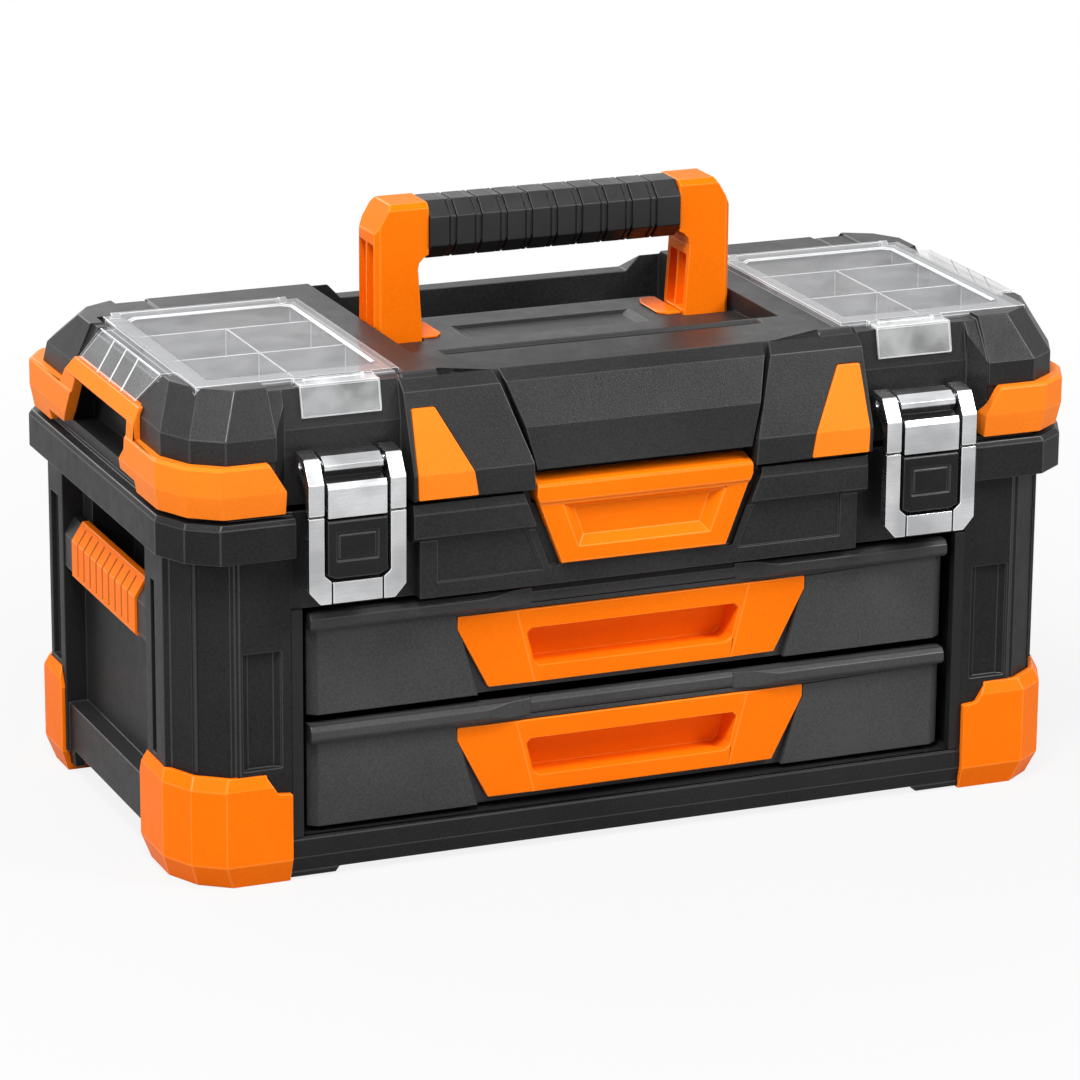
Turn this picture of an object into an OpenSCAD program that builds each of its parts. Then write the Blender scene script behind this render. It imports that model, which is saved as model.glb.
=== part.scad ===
// Portable tool box: a moulded case with two drawers and a top compartment, under a hinged lid that
// carries the folding handle, two bail latches and two lift-out organisers with clear covers.
// X runs along the box, the front faces -Y, and Z is up from the soles of the feet.

/* [Case] */
// Half of the case's outside length
case_hx = 275; // [262:1:290]
// Distance of the front wall from the middle plane
case_front = 137; // [128:1:145]
// Distance of the rear wall from the middle plane
case_rear = 137; // [128:1:145]
// Height of the case's top rim
case_top = 219; // [215:1:232]
// Thickness of the moulded walls
wall = 3; // [2.4:0.1:3.6]
// How far the corners are cut back along X
corner_x = 27; // [22:1:32]
// How far the corners are cut back along Y
corner_y = 34; // [28:1:40]
// Place along X where the two facets of a corner meet
corner_mid_x = 10; // [8:0.5:12]
// Place along Y where the two facets of a corner meet
corner_mid_y = 12.5; // [10:0.5:15]
// How far the rear corners are cut back along Y
corner_rear = 25; // [22:1:32]
// Place along Y where the two facets of a rear corner meet
corner_mid_rear = 9; // [7:0.5:12]
// Height of the rim band
rim_h = 23; // [18:1:28]
// How far the rim stands out at the sides
rim_out_x = 9; // [6:0.5:10]
// How far the rim stands out at the front and rear
rim_out_y = 12.5; // [11:0.5:13]
// Bevel along the top of the rim
rim_bevel = 3; // [1:0.5:5]
// Height of the raised sealing lip on the rim
lip_h = 2.3; // [1.5:0.1:3]

/* [Pillars and side recesses] */
// How far the pillar panels stand out of the walls
pillar_out = 2; // [1:0.25:3]
// Width of the pillar panels beside the drawers
pillar_w = 31; // [26:0.5:33]
// Height at which the slots in the pillars end
slot_top = 139; // [120:1:160]
// Depth of the slots in the pillars
slot_deep = 4; // [2:0.5:4]
// Front end of the side recess
recess_front = 74; // [70:1:80]
// Rear end of the side recess
recess_rear = 83; // [78:1:90]
// Lower edge of the side recess
recess_bottom = 45; // [40:1:60]
// Depth of the side recess
recess_deep = 11.5; // [9:0.5:13]
// Depth of the finger pocket behind the side grip
pocket_deep = 37; // [32:1:42]
// Lower edge of the finger pocket
pocket_bottom = 118; // [110:1:124]
// Half width of the finger pocket
pocket_hy = 66; // [62:1:70]

/* [Feet] */
// Height of the underside above the soles
sole_h = 4.5; // [3.5:0.5:7]
// How far the feet stand out of the side walls
foot_out = 5; // [4.5:0.5:7]
// How far the feet stand out of the front and rear walls
foot_out_y = 6; // [5:0.5:8]
// Height of the feet
foot_top = 66.5; // [60:0.5:76]
// Height of the slanted lower edge
toe_h = 14; // [10:1:18]
// How far the slanted lower edge runs in
toe_in = 5; // [3:0.5:8]
// Bevel along the top of the feet
foot_bevel = 7; // [4:0.5:9]
// Length of a front foot along the side
foot_side_front = 75; // [66:1:78]
// Length of a rear foot along the side
foot_side_rear = 59; // [52:1:66]
// Height of the step at a foot's inner end
foot_step = 54; // [46:1:58]

/* [Drawers] */
// Width of the space beside the drawer bay
side_w = 66; // [61:1:75]
// Height of the drawer bay's floor
bay_floor = 26; // [22:1:30]
// Height of one drawer front
front_h = 62; // [56:0.5:64]
// Distance from one drawer to the next
pitch = 67.2; // [66:0.1:68]
// Gap under the lower drawer front
front_gap = 3; // [2:0.5:4]
// Distance of a drawer front's ends from the bay's sides
front_side = 8.5; // [8:0.5:19]
// Distance of the drawer fronts from the middle plane
front_face = 134.5; // [131:0.5:136]
// Thickness of a drawer front
front_t = 6; // [5:0.5:8]
// Height of the ledge along the top of a drawer front
ledge_h = 10.2; // [8:0.2:12]
// How far the ledge stands out
ledge_out = 5; // [3:0.5:6]
// Distance of a drawer's back from the middle plane
drawer_back = 112; // [90:1:120]
// Thickness of a drawer's walls
tray_t = 2.5; // [2:0.1:3]
// Height of a drawer's walls
tray_h = 44; // [36:1:47]
// Gap between a drawer and its runners
slide_gap = 0.3; // [0.2:0.05:0.4]
// Width of the runner rails
rail_w = 9; // [6:0.5:10]
// Half width of the orange bezel along its top
bezel_top_hx = 109.5; // [100:0.5:115]
// Half width of the orange bezel along its bottom
bezel_low_hx = 90.3; // [80:0.5:96]
// Height of the orange bezel
bezel_h = 44.5; // [40:0.5:46]
// Half width of the finger pull at its top
pull_hx = 66.8; // [55:0.2:72]
// Height of the finger pull
pull_h = 23; // [20:0.5:26]
// Depth of the finger pull
pull_deep = 20; // [16:0.5:24]

/* [Fascia] */
// Gap between the upper drawer and the fascia
fascia_gap = 3.8; // [2:0.1:5]
// Width of the bays for the latches, beside the fascia's raised middle
latch_bay = 70; // [69:0.5:74]
// Height of the fascia's upper band
fascia_band = 20; // [16:0.5:24]
// How far the lower fascia is set back
fascia_step = 4; // [2:0.5:6]
// How far the middle plate rises over the rim
plate_rise = 4.4; // [2:0.2:6]
// Distance from the rim down to the middle plate's lower edge
plate_drop = 44.3; // [39:0.5:49]
// Half width of the middle plate along its top
plate_top_hx = 67.3; // [60:0.1:67.5]
// Half width of the middle plate along its bottom
plate_low_hx = 51.1; // [45:0.1:56]

/* [Side grips] */
// Half length of a side grip
grip_hy = 59.5; // [50:0.5:61]
// Distance of a side grip's middle behind the middle plane
grip_y = 4.5; // [3:0.5:6]
// Lower edge of a side grip
grip_low = 129; // [126:1:134]
// Height of a side grip
grip_h = 35; // [32:1:38]
// Thickness of a side grip
grip_t = 13; // [10:0.5:14]
// Number of ribs on a side grip
grip_ribs = 10; // [6:1:12]

/* [Lid] */
// Gap between the case rim and the lid
seam = 2.6; // [2.6:0.1:3.4]
// How far the lid shell reaches past the case's side walls
lid_over = 2; // [-3:0.5:3]
// Distance of the lid's corner faces from the middle plane
lid_front = 143; // [140:0.5:144]
// Distance of the lid's rear face from the middle plane
lid_rear = 144.5; // [140:0.5:145]
// Height of the lid's deck
deck = 288; // [284:0.5:290]
// Distance from the deck down to the ridge where the lid's sides lean in
ridge_drop = 22.3; // [20:0.5:27]
// How far the sides lean in up to the deck
lean_x = 11; // [8:0.5:13]
// How far the rear leans in up to the ridge
lean_rear = 19.5; // [10:0.5:22]
// Height over the lid's lower edge at which the rear starts to lean in
lean_rise = 15.4; // [14.4:0.5:27]
// Distance of the deck's front edge from the middle plane
deck_front = 127; // [124:0.5:129]
// Distance of the deck's rear edge from the middle plane
deck_rear = 95; // [92:0.5:98]
// How far the corner covers stand out
pad_out = 1.6; // [1:0.2:2.4]
// Length of the corner covers along the side
pad_len = 79; // [70:1:84]
// Distance of the lid's corners from the latch bays
corner_gap = 1; // [-1.5:0.5:3]
// Distance of the latch bays' wall from the middle plane
latch_wall = 132; // [130.5:0.25:132.5]
// Distance of the raised front pads from the middle plane
block_front = 152.5; // [149:0.5:153.5]
// Inner half width of the raised front pads at their foot
block_in = 68.6; // [68.4:0.2:72]
// How far the raised front pads reach past the fascia's middle
block_over = 1; // [-2:0.5:2]
// Distance of the middle panel from the middle plane
panel_front = 150; // [147:0.5:151]
// Height of the middle panel's lower edge over the lid's lower edge
panel_rise = 10.9; // [9.4:0.5:14]

/* [Handle] */
// Gap between a post and the side of the handle recess
post_gap = 2.6; // [2:0.2:8]
// Width of a post under its arm
post_w = 26.6; // [24:0.2:28]
// How much wider a post is at its foot
post_flare = 2.6; // [0:0.2:3]
// Half depth of a post
post_hy = 15.5; // [14:0.5:16.5]
// Height of the raised handle over the deck
handle_rise = 70.5; // [60:0.5:71]
// Distance from the deck down to the handle's pivot
pivot_drop = 20; // [19:0.25:21]
// Distance of the handle's pivot behind the middle plane
pivot_y = 2; // [0:0.5:3]
// Height of the arms between the posts and the grip
arm_h = 31; // [26:0.5:33]
// Height of the grip
hold_h = 34.6; // [30:0.2:35]
// Number of rubber segments on the grip
hold_segments = 10; // [6:1:14]
// Width of a groove between rubber segments
hold_groove = 1.4; // [1:0.1:2]
// Width of the narrow band beside each groove
hold_band = 2.4; // [1.5:0.1:4]
// Diameter of the handle's pivot pins
pivot_d = 8; // [6:0.5:9]
// Distance from the deck down to the platform that the handle stands in
platform_drop = 11.5; // [10:0.25:12.5]
// Width of the deck between the handle recess and an organiser
well_side = 22; // [20:0.2:22.8]
// Front edge of the platform
platform_front = 72; // [68:0.5:78]
// Front edge of the deep handle well
well_front = 35; // [32:0.5:38]
// Rear edge of the deep handle well
well_rear = 98; // [97:0.5:100]
// Depth of the deep handle well
well_deep = 41; // [39:0.5:46]

/* [Latches] */
// Distance of a latch from the middle of its bay
latch_shift = 1.7; // [0:0.1:3]
// Half width of a latch
latch_hx = 29; // [26:0.2:30]
// Distance of a latch's face from the middle plane
latch_face = 157.7; // [156:0.1:159]
// Distance from the rim down to a latch's lower edge
latch_drop = 49.4; // [46:0.2:53]
// Width of a latch's side bars
bar_w = 9.3; // [8:0.1:10.5]
// Thickness of a latch
latch_t = 6; // [5:0.25:7]
// Height of a latch's pivot over the rim
latch_rise = 28.5; // [27:0.25:30]
// Distance of a latch's pivot from the middle plane
latch_pivot_y = 143; // [142.5:0.25:144]
// Diameter of a latch's pivot pin
latch_pin_d = 4; // [3:0.25:4.5]
// How far a latch's fixed middle plate stands in front of its bars
plate_out = 0.4; // [0.1:0.1:1]

/* [Hinges] */
// Height of the hinge line over the rim
hinge_rise = 2; // [1:0.25:3]
// Diameter of a hinge barrel
barrel_d = 9.4; // [8:0.1:10]
// Diameter of a hinge pin
hinge_pin_d = 4; // [3:0.25:5]
// Middle of a hinge along X
hinge_x = 140; // [110:1:165]
// Length of a hinge
hinge_len = 64; // [50:1:80]

/* [Organisers] */
// Width of an organiser cover
org_w = 121; // [117:0.5:123]
// Distance of an organiser cover from the lid's side
org_side = 18; // [16:0.5:27]
// Front edge of an organiser cover
org_front = 116; // [108:0.5:117]
// Rear edge of an organiser cover
org_rear = 54; // [46:0.5:56]
// Depth of an organiser tray
org_deep = 37; // [30:0.5:38]
// Thickness of an organiser's walls
org_t = 1.6; // [1.2:0.1:2]
// Width of the organiser's rim around its tray
org_rim = 5; // [4:0.25:6]
// Place of the cross divider behind the small compartments
divider_rear = 12; // [4:0.5:20]
// Place of the cross divider between the small compartments
divider_front = 46; // [38:0.5:56]
// Distance of a clasp from the organiser cover's inner side
clasp_side = 16.9; // [14:0.1:22]
// Width of a clasp
clasp_w = 47.6; // [40:0.1:50]
// Distance from the deck down to a clasp's lower edge
clasp_drop = 16.5; // [13:0.5:20]
// Diameter of a cover's hinge barrel
org_barrel_d = 5; // [4.6:0.1:5.4]
// Diameter of a cover's hinge pin
org_pin_d = 2; // [1.6:0.1:2.4]

/* [Fits] */
// Radial clearance of a pin in its bore
pin_gap = 0.06; // [0.03:0.01:0.09]
// Gap between pieces that are fixed or rest on each other
seat_gap = 0.3; // [0.2:0.05:0.4]

/* [Hidden] */

charcoal = "#2b2b2c";
orange = "#ff7f1e";
silver = "#c9cbcc";
steel = "#9a9c9e";
rubber = "#1d1d1e";
clear = [0.85, 0.87, 0.88, 0.5];

far = 400;               // beyond every piece, for cuts that run right out
rim_hx = case_hx + rim_out_x;
rim_front = case_front + rim_out_y;
rim_rear = case_rear + rim_out_y;
rim_low = case_top - rim_h;
bay_hx = case_hx - side_w;               // inside half width of the drawer bay
front_hx = bay_hx - front_side;          // half width of a drawer front
open_hx = bay_hx + wall;                 // half width of the opening in the front wall
fascia_hx = open_hx - latch_bay;         // half width of the fascia's raised middle
lid_hx = case_hx + lid_over;             // half length of the lid shell
corner_in = open_hx + corner_gap;        // inner end of the lid's corners
block_out = fascia_hx + block_over;      // outer end of the raised front pads
latch_x = open_hx - latch_bay / 2 + latch_shift;     // middle of a latch
org_out = lid_hx - org_side;             // outer side of an organiser cover
org_in = org_out - org_w;                // inner side of an organiser cover
clasp_in = org_in + clasp_side;          // inner side of a clasp
clasp_out = clasp_in + clasp_w;          // outer side of a clasp
well_hx = org_in - well_side;            // half width of the handle recess
post_out = well_hx - post_gap;           // half width over the two posts
ridge = deck - ridge_drop;               // height of the ridge
lid_low = case_top + seam;               // lower edge of the lid
lean_z = lid_low + lean_rise;            // height at which the rear starts to lean in
panel_low = lid_low + panel_rise;        // lower edge of the middle panel
handle_top = deck + handle_rise;         // height of the raised handle
pivot_z = deck - pivot_drop;             // height of the handle's pivot
platform = deck - platform_drop;         // height of the platform that the handle stands in
well_floor = deck - well_deep;           // floor of the deep handle well
latch_low = case_top - latch_drop;       // lower edge of a latch
latch_pivot_z = case_top + latch_rise;   // height of a latch's pivot
hinge_z = case_top + hinge_rise;         // height of the hinge line
clasp_low = deck - clasp_drop;           // lower edge of a clasp
plate_top = case_top + plate_rise;       // top edge of the middle plate
plate_low = case_top - plate_drop;       // lower edge of the middle plate
fascia_bottom = bay_floor + front_gap + pitch + front_h + fascia_gap;    // lower edge of the fascia
strip_t = 3.7;           // thickness of the guide strips beside the drawers
strip_face = front_face + ledge_out;
shelf_z = fascia_bottom;
hinge_y = latch_face + plate_out - barrel_d / 2;     // hinge barrels reach as far back as the latches reach forward
toe_wall = 3.4;          // thickness of a foot around the case's slanted lower edge
$fn = 48;

// ---------------------------------------------------------------- outlines and general shapes

// Outline of the box at one level, with two facets at each corner
function ring(hx, front, rear) = [
  [hx, -front + corner_y], [hx, rear - corner_rear],
  [hx - corner_mid_x, rear - corner_mid_rear], [hx - corner_x, rear],
  [-hx + corner_x, rear], [-hx + corner_mid_x, rear - corner_mid_rear],
  [-hx, rear - corner_rear], [-hx, -front + corner_y],
  [-hx + corner_mid_x, -front + corner_mid_y], [-hx + corner_x, -front],
  [hx - corner_x, -front], [hx - corner_mid_x, -front + corner_mid_y]];

// Solid through a list of [height, outline], all outlines with as many points
module loft(levels) {
  n = len(levels[0][1]);
  top = len(levels) - 1;
  points = [for (level = levels) for (p = level[1]) [p.x, p.y, level[0]]];
  sides = [for (k = [0:top - 1]) for (i = [0:n - 1])
    [k * n + i, (k + 1) * n + i, (k + 1) * n + (i + 1) % n, k * n + (i + 1) % n]];
  polyhedron(points, concat([[for (i = [0:n - 1]) i]], sides, [[for (i = [n - 1:-1:0]) top * n + i]]));
}

// Straight prism of a ring outline between two heights
module prism(low, high, hx, front, rear) {
  translate([0, 0, low]) linear_extrude(high - low) polygon(ring(hx, front, rear));
}

// Box between two opposite corners
module block(low, high) {
  translate(low) cube(high - low);
}

// Outline in Y and Z, extruded along X from one place to another
module along_x(from, to, outline) {
  translate([from, 0, 0]) rotate([90, 0, 90]) linear_extrude(to - from) polygon(outline);
}

// Outline in X and Z, extruded along Y from one place to another
module along_y(from, to, outline) {
  translate([0, to, 0]) rotate([90, 0, 0]) linear_extrude(to - from) polygon(outline);
}

// Round rod along X
module rod(from, to, y, z, d) {
  translate([from, y, z]) rotate([0, 90, 0]) cylinder(h = to - from, d = d);
}

// A piece made for the right side, mirrored to the left one where side is -1
module on_side(side) {
  if (side > 0) children();
  else mirror([1, 0, 0]) children();
}

// The piece and its mirror image
module both_sides() {
  for (side = [-1, 1]) on_side(side) children();
}

// ---------------------------------------------------------------- case

grip_face = case_hx + 2.5;      // outer face of the side grips
pocket_hx = case_hx - pocket_deep;
slot_x = [bay_hx + 9, bay_hx + 32];
slot_z = [foot_top + 3, slot_top];
rib_step = 68;                  // distance between the ribs under the floor
arch_h = 12;                    // height of the side walls' lower edge over the middle part

// Walls of the case, drawn in along their lower edge, with the raised pillar panels
module case_skin() {
  toe = foot_out - toe_in * (toe_h - sole_h) / toe_h - toe_wall;
  edge = 3;
  loft([[sole_h, ring(case_hx + toe, case_front + toe, case_rear + toe)],
    [toe_h, ring(case_hx, case_front, case_rear)],
    [rim_low + 1, ring(case_hx, case_front, case_rear)]]);
  both_sides() {
    for (face = [[-case_front, -1], [case_rear, 1]]) translate([0, 0, toe_h]) linear_extrude(rim_low - toe_h + 1)
      polygon([[open_hx, face[0]], [open_hx, face[0] + face[1] * pillar_out],
        [open_hx + pillar_w, face[0] + face[1] * pillar_out], [open_hx + pillar_w + edge, face[0] - face[1]],
        [open_hx, face[0] - face[1]]]);
    translate([0, 0, toe_h]) linear_extrude(rim_low - toe_h + 1) {
      polygon([[case_hx - 2, -recess_front - 33], [case_hx + pillar_out, -recess_front - 31],
        [case_hx + pillar_out, -recess_front], [case_hx - 2, -recess_front]]);
      polygon([[case_hx - 2, recess_rear], [case_hx + pillar_out, recess_rear],
        [case_hx + pillar_out, case_rear - corner_rear - 1], [case_hx - 2, case_rear - corner_rear + 1]]);
    }
  }
}

// Outer body of the case with the rim
module case_body() {
  case_skin();
  prism(rim_low, case_top - rim_bevel, case_hx, case_front, case_rear);
  loft([[rim_low, ring(rim_hx, rim_front, rim_rear)],
    [case_top - rim_bevel, ring(rim_hx, rim_front, rim_rear)],
    [case_top, ring(rim_hx - rim_bevel / 2, rim_front - rim_bevel / 2, rim_rear - rim_bevel / 2)]]);
  // sealing lip right under the lid's wall
  difference() {
    prism(case_top - 1, case_top + lip_h, lid_hx - seat_gap, lid_front - seat_gap, lid_rear - seat_gap);
    prism(case_top - 2, case_top + lip_h + 1, lid_hx - wall - seat_gap, lid_front - wall - seat_gap,
      lid_rear - wall - seat_gap);
  }
}

// Space inside the case, above its floor
module case_inside() {
  prism(bay_floor, case_top + far, case_hx - wall, case_front - wall, case_rear - wall);
}

// Hollow underside with stiffening ribs
module case_underside() {
  edge = wall + 5;
  difference() {
    prism(-1, bay_floor - wall, case_hx - edge, case_front - edge, case_rear - edge);
    for (x = [-3 * rib_step:rib_step:3 * rib_step])
      block([x - wall / 2, -far, sole_h + arch_h + 1], [x + wall / 2, far, bay_floor]);
    for (y = [-rib_step, 0, rib_step])
      block([-far, y - wall / 2, sole_h + arch_h + 1], [far, y + wall / 2, bay_floor]);
  }
}

// Recess in one side wall, with its deeper finger pocket; grown by t it is the skin around them
module side_recess(t) {
  block([case_hx - recess_deep - t, -recess_front - t, recess_bottom - t],
    [far, recess_rear + t, rim_low + (t > 0 ? 1 : 0)]);
  block([pocket_hx - t, -pocket_hy - t, pocket_bottom - t],
    [far, pocket_hy + t, rim_low + (t > 0 ? 1 : 0)]);
}

// Upright slots in the front and side faces of the pillars, and grooves down the corners
module pillar_slots() {
  bevel = 4;
  along_z = [[slot_x[0], -far], [slot_x[0], -case_front - 0.6], [slot_x[0] + bevel, -case_front - pillar_out + slot_deep],
    [slot_x[1] - bevel, -case_front - pillar_out + slot_deep], [slot_x[1], -case_front - 0.6], [slot_x[1], -far]];
  translate([0, 0, slot_z[0]]) linear_extrude(slot_z[1] - slot_z[0]) polygon(along_z);
  for (y = [-case_front + corner_mid_y, case_rear - corner_mid_rear])
    translate([case_hx - corner_mid_x, y, toe_h]) cylinder(h = rim_low - toe_h, d = 3.6);
  block([case_hx + pillar_out - slot_deep, -recess_front - 16.5, slot_z[0]],
    [far, -recess_front - 10, slot_z[1] + 34]);
  block([case_hx + pillar_out - slot_deep, recess_rear + 8.5, slot_z[0]],
    [far, recess_rear + 23.5, slot_z[1] + 34]);
}

// Shallow panels in the rear wall
module rear_panels() {
  step = (case_hx - wall) / 2;
  for (x = [-1, 0, 1])
    block([x * step - step / 2 + 4, case_rear - 0.8, toe_h + 12], [x * step + step / 2 - 4, far, rim_low - 20]);
}

module case_shell() color(charcoal) difference() {
  union() {
    difference() {
      case_body();
      difference() {
        case_inside();
        both_sides() side_recess(wall);
      }
      case_underside();
    }
    // sill under the drawers
    along_x(-open_hx - 1, open_hx + 1, [[-case_front + wall, bay_floor],
      [-strip_face + 1, bay_floor], [-strip_face, bay_floor - 1.5], [-strip_face, sole_h + 9],
      [-case_front, sole_h], [-case_front + 2 * wall, sole_h], [-case_front + 2 * wall, bay_floor - 1]]);
    // its lower edge steps down beside the feet
    both_sides() along_y(-case_front, -case_front + 2 * wall, [[open_hx - 30, sole_h + 1], [open_hx - 27, 1.5],
      [open_hx + 6, 1.5], [open_hx + 6, sole_h + 1]]);
  }
  // front opening for the drawers, the fascia and the latches
  block([-open_hx, -far, bay_floor], [open_hx, -case_front + wall + 1, far]);
  both_sides() {
    side_recess(0);
    pillar_slots();
    // bottom edge of the side walls is arched between the feet
    along_x(case_hx - 3 * wall, far, [[-recess_front + 10, -1], [-recess_front + 16, sole_h + arch_h],
      [recess_rear - 8, sole_h + arch_h], [recess_rear - 2, -1]]);
  }
  rear_panels();
}

// Drawer z levels: bottom edge of the fronts
function drawer_z(level) = bay_floor + front_gap + level * pitch;
rail_low = 21;                  // height of a drawer's rails above its bottom edge
rail_h = 4;

// Inner wall of the drawer bay with the runners of both drawers
module bay_side(side) color(charcoal) on_side(side) {
  block([bay_hx, -strip_face, bay_floor], [open_hx, case_rear - wall, shelf_z]);
  block([bay_hx - strip_t, -strip_face, bay_floor], [bay_hx, -front_face + 1, shelf_z]);
  for (level = [0, 1]) {
    z = drawer_z(level) + rail_low;
    block([bay_hx - rail_w, -front_face + 20, z - slide_gap - wall],
      [bay_hx, case_rear - wall, z - slide_gap]);
    block([bay_hx - rail_w, -front_face + 20, z + rail_h + slide_gap],
      [bay_hx, case_rear - wall, z + rail_h + slide_gap + wall]);
  }
}

// Floor of the top compartment, over the drawer bay and the side spaces
module bay_shelf() color(charcoal) difference() {
  prism(shelf_z, shelf_z + wall, case_hx - wall, case_front - wall, case_rear - wall);
  both_sides() block([pocket_hx - wall, -recess_front - wall, shelf_z - 1],
    [far, recess_rear + wall, shelf_z + wall + 1]);
}

block_y = rim_front - fascia_step;      // face of the lower fascia

// Outline of the recessed field beside the middle plate
function field(grow) = [[plate_top_hx + 5 - grow, case_top - fascia_band],
  [fascia_hx - 16 + grow, case_top - fascia_band], [fascia_hx - 16 + grow, fascia_bottom + 9 - grow],
  [plate_low_hx + 10 - grow, fascia_bottom + 9 - grow]];

module front_fascia() color(charcoal) difference() {
  union() {
    // back wall between the pillars
    block([-open_hx, -case_front, fascia_bottom], [open_hx, -case_front + wall, case_top]);
    // lower face and upper band
    block([-fascia_hx + 5, -block_y, fascia_bottom], [fascia_hx - 5, -case_front, case_top - fascia_band]);
    along_x(-fascia_hx, fascia_hx, [[-case_front, case_top - fascia_band - 3],
      [-block_y, case_top - fascia_band - 3], [-rim_front, case_top - fascia_band],
      [-rim_front, case_top - rim_bevel - 3], [-rim_front + rim_bevel / 2, case_top],
      [-case_front, case_top]]);
  }
  // hollow behind the raised part, open to the top compartment
  block([-fascia_hx + 5 + wall, -block_y + plate_set + wall, fascia_bottom + wall],
    [fascia_hx - 5 - wall, -case_front + wall + 1, case_top - 8 - wall]);
  // recessed fields, and strips beside the middle plate
  both_sides() {
    along_y(-far, -block_y + 1.6, field(0));
    along_y(-far, -block_y + 3, [[plate_low_hx, plate_low - 2], [plate_low_hx + 6, plate_low - 2],
      [plate_top_hx + 6.5, plate_top - 7], [plate_top_hx + 6.5, case_top + 1], [plate_top_hx, case_top + 1],
      [plate_top_hx, plate_top - 7]]);
  }
  // seat of the middle plate
  along_y(-far, -block_y + plate_set, plate_outline(seat_gap));
  block([-plate_top_hx - 0.5, -far, case_top - 8], [plate_top_hx + 0.5, -case_front + wall + 1, far]);
}

plate_set = 4;                // depth of the middle plate's seat
plate_scoop = 10;               // depth of the finger scoop over the middle plate

// Outline of the middle plate, seen from the front
function plate_outline(grow) = [[-plate_low_hx - grow, plate_low - grow], [plate_low_hx + grow, plate_low - grow],
  [plate_top_hx + grow, plate_top - 7], [plate_top_hx + grow, plate_top + grow],
  [-plate_top_hx - grow, plate_top + grow], [-plate_top_hx - grow, plate_top - 7]];

// Sunk field of the middle plate with slanted sides
module plate_field() {
  low = plate_low + 9;
  high = case_top - 11;
  function face(hx_low, hx_high, z0, z1, y) = [[-hx_low, y, z0], [hx_low, y, z0], [hx_high, y, z1], [-hx_high, y, z1]];
  low_hx = plate_low_hx - 9;
  lean = (plate_top_hx - 14.5 - low_hx) / (high - low + 4.5);
  outer = face(low_hx, plate_top_hx - 14.5, low - 1, high + 3.5, -rim_front - 1);
  inner = face(low_hx - 5.6, low_hx - 5.6 + lean * (high - low - 7), low + 6, high - 1, -rim_front + 5);
  polyhedron(concat(outer, inner), [[3, 2, 1, 0], [4, 5, 6, 7], [0, 1, 5, 4], [1, 2, 6, 5], [2, 3, 7, 6], [3, 0, 4, 7]]);
}

module middle_plate() color(orange) difference() {
  intersection() {
    union() {
      // face, lip and the scoop that rises behind it
      along_x(-far, far, [[-block_y + plate_set, plate_low - 1], [-rim_front + 0.6, plate_low - 1],
        [-rim_front, plate_low + 1], [-rim_front, case_top - 8], [-rim_front - 1.6, case_top - 6],
        [-rim_front - 1.6, plate_top - 1], [-rim_front - 0.8, plate_top], [-rim_front + plate_scoop, plate_top + 3],
        [-case_front + wall, plate_top + 3], [-case_front + wall, case_top - 8 + seat_gap],
        [-block_y + plate_set, case_top - 8 + seat_gap]]);
    }
    along_y(-far, 0, [[-plate_low_hx, plate_low], [plate_low_hx, plate_low], [plate_top_hx, plate_top - 7],
      [plate_top_hx, plate_top + 9], [-plate_top_hx, plate_top + 9], [-plate_top_hx, plate_top - 7]]);
  }
  plate_field();
}

// Corner guard around one foot of the case; rear ones are set further back
module foot(side, rear) color(orange) on_side(side) {
  face = case_front + foot_out_y;
  back = case_rear + foot_out_y;
  reach = rear ? foot_side_rear : foot_side_front;
  intersection() {
    difference() {
      loft([[0, ring(case_hx + foot_out - toe_in, face - toe_in, back - toe_in)],
        [toe_h, ring(case_hx + foot_out, face, back)],
        [foot_top - foot_bevel, ring(case_hx + foot_out, face, back)],
        [foot_top, ring(case_hx + pillar_out + 0.4, case_front + pillar_out + 0.6, case_rear + pillar_out + 0.6)]]);
      case_skin();
      block([0, -case_front, 1.5], [open_hx + 6, -case_front + 2 * wall, sole_h + 1]);
    }
    along_y(-far, far, [[open_hx + 1, -1], [open_hx + 1, foot_step], [open_hx + 9.5, foot_step + 0.8],
      [open_hx + 15.5, foot_top - 2], [open_hx + 15.5, foot_top + 1], [far, foot_top + 1], [far, -1]]);
    if (rear) along_x(0, far, [[back - reach + 4, -1], [back - reach, toe_h], [back - reach, foot_top - 12],
      [back - reach + 6, foot_top + 1], [far, foot_top + 1], [far, -1]]);
    else along_x(0, far, [[-face + reach - 4, -1], [-face + reach, toe_h], [-face + reach, foot_top - 12],
      [-face + reach - 6, foot_top + 1], [-far, foot_top + 1], [-far, -1]]);
  }
}

grip_core = [grip_face - grip_t + 3, grip_face - 5.5];   // faces of the bar inside a side grip

// Ribbed sleeve of a side grip
module side_grip(side) color(orange) on_side(side) translate([0, grip_y, 0]) difference() {
  inner = grip_face - grip_t;
  high = grip_low + grip_h;
  rib = 2 * grip_hy / grip_ribs;
  along_y(-grip_hy, grip_hy, [[inner + 2, grip_low], [grip_face - 2, grip_low], [grip_face, grip_low + 2],
    [grip_face, high - 11], [grip_face - 7, high], [inner + 2, high], [inner, high - 3], [inner, grip_low + 3]]);
  along_y(-far, far, [for (p = [[0, 5.7], [1, 5.7], [1, grip_h - 7.7], [0, grip_h - 7.7]])
    [grip_core[p.x] + (p.x == 0 ? -seat_gap : seat_gap), grip_low + p.y]]);
  // grooves between the ribs, over the face and the bevel above it
  for (i = [1:grip_ribs - 1]) {
    y = -grip_hy + i * rib;
    along_y(y - 0.7, y + 0.7, [[grip_face - 0.9, grip_low + 4], [grip_face + 2, grip_low + 4], [grip_face + 2, high - 2.7],
      [grip_face - 6.3, high - 2.7], [grip_face - 0.9, high - 11.3]]);
  }
}

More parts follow.
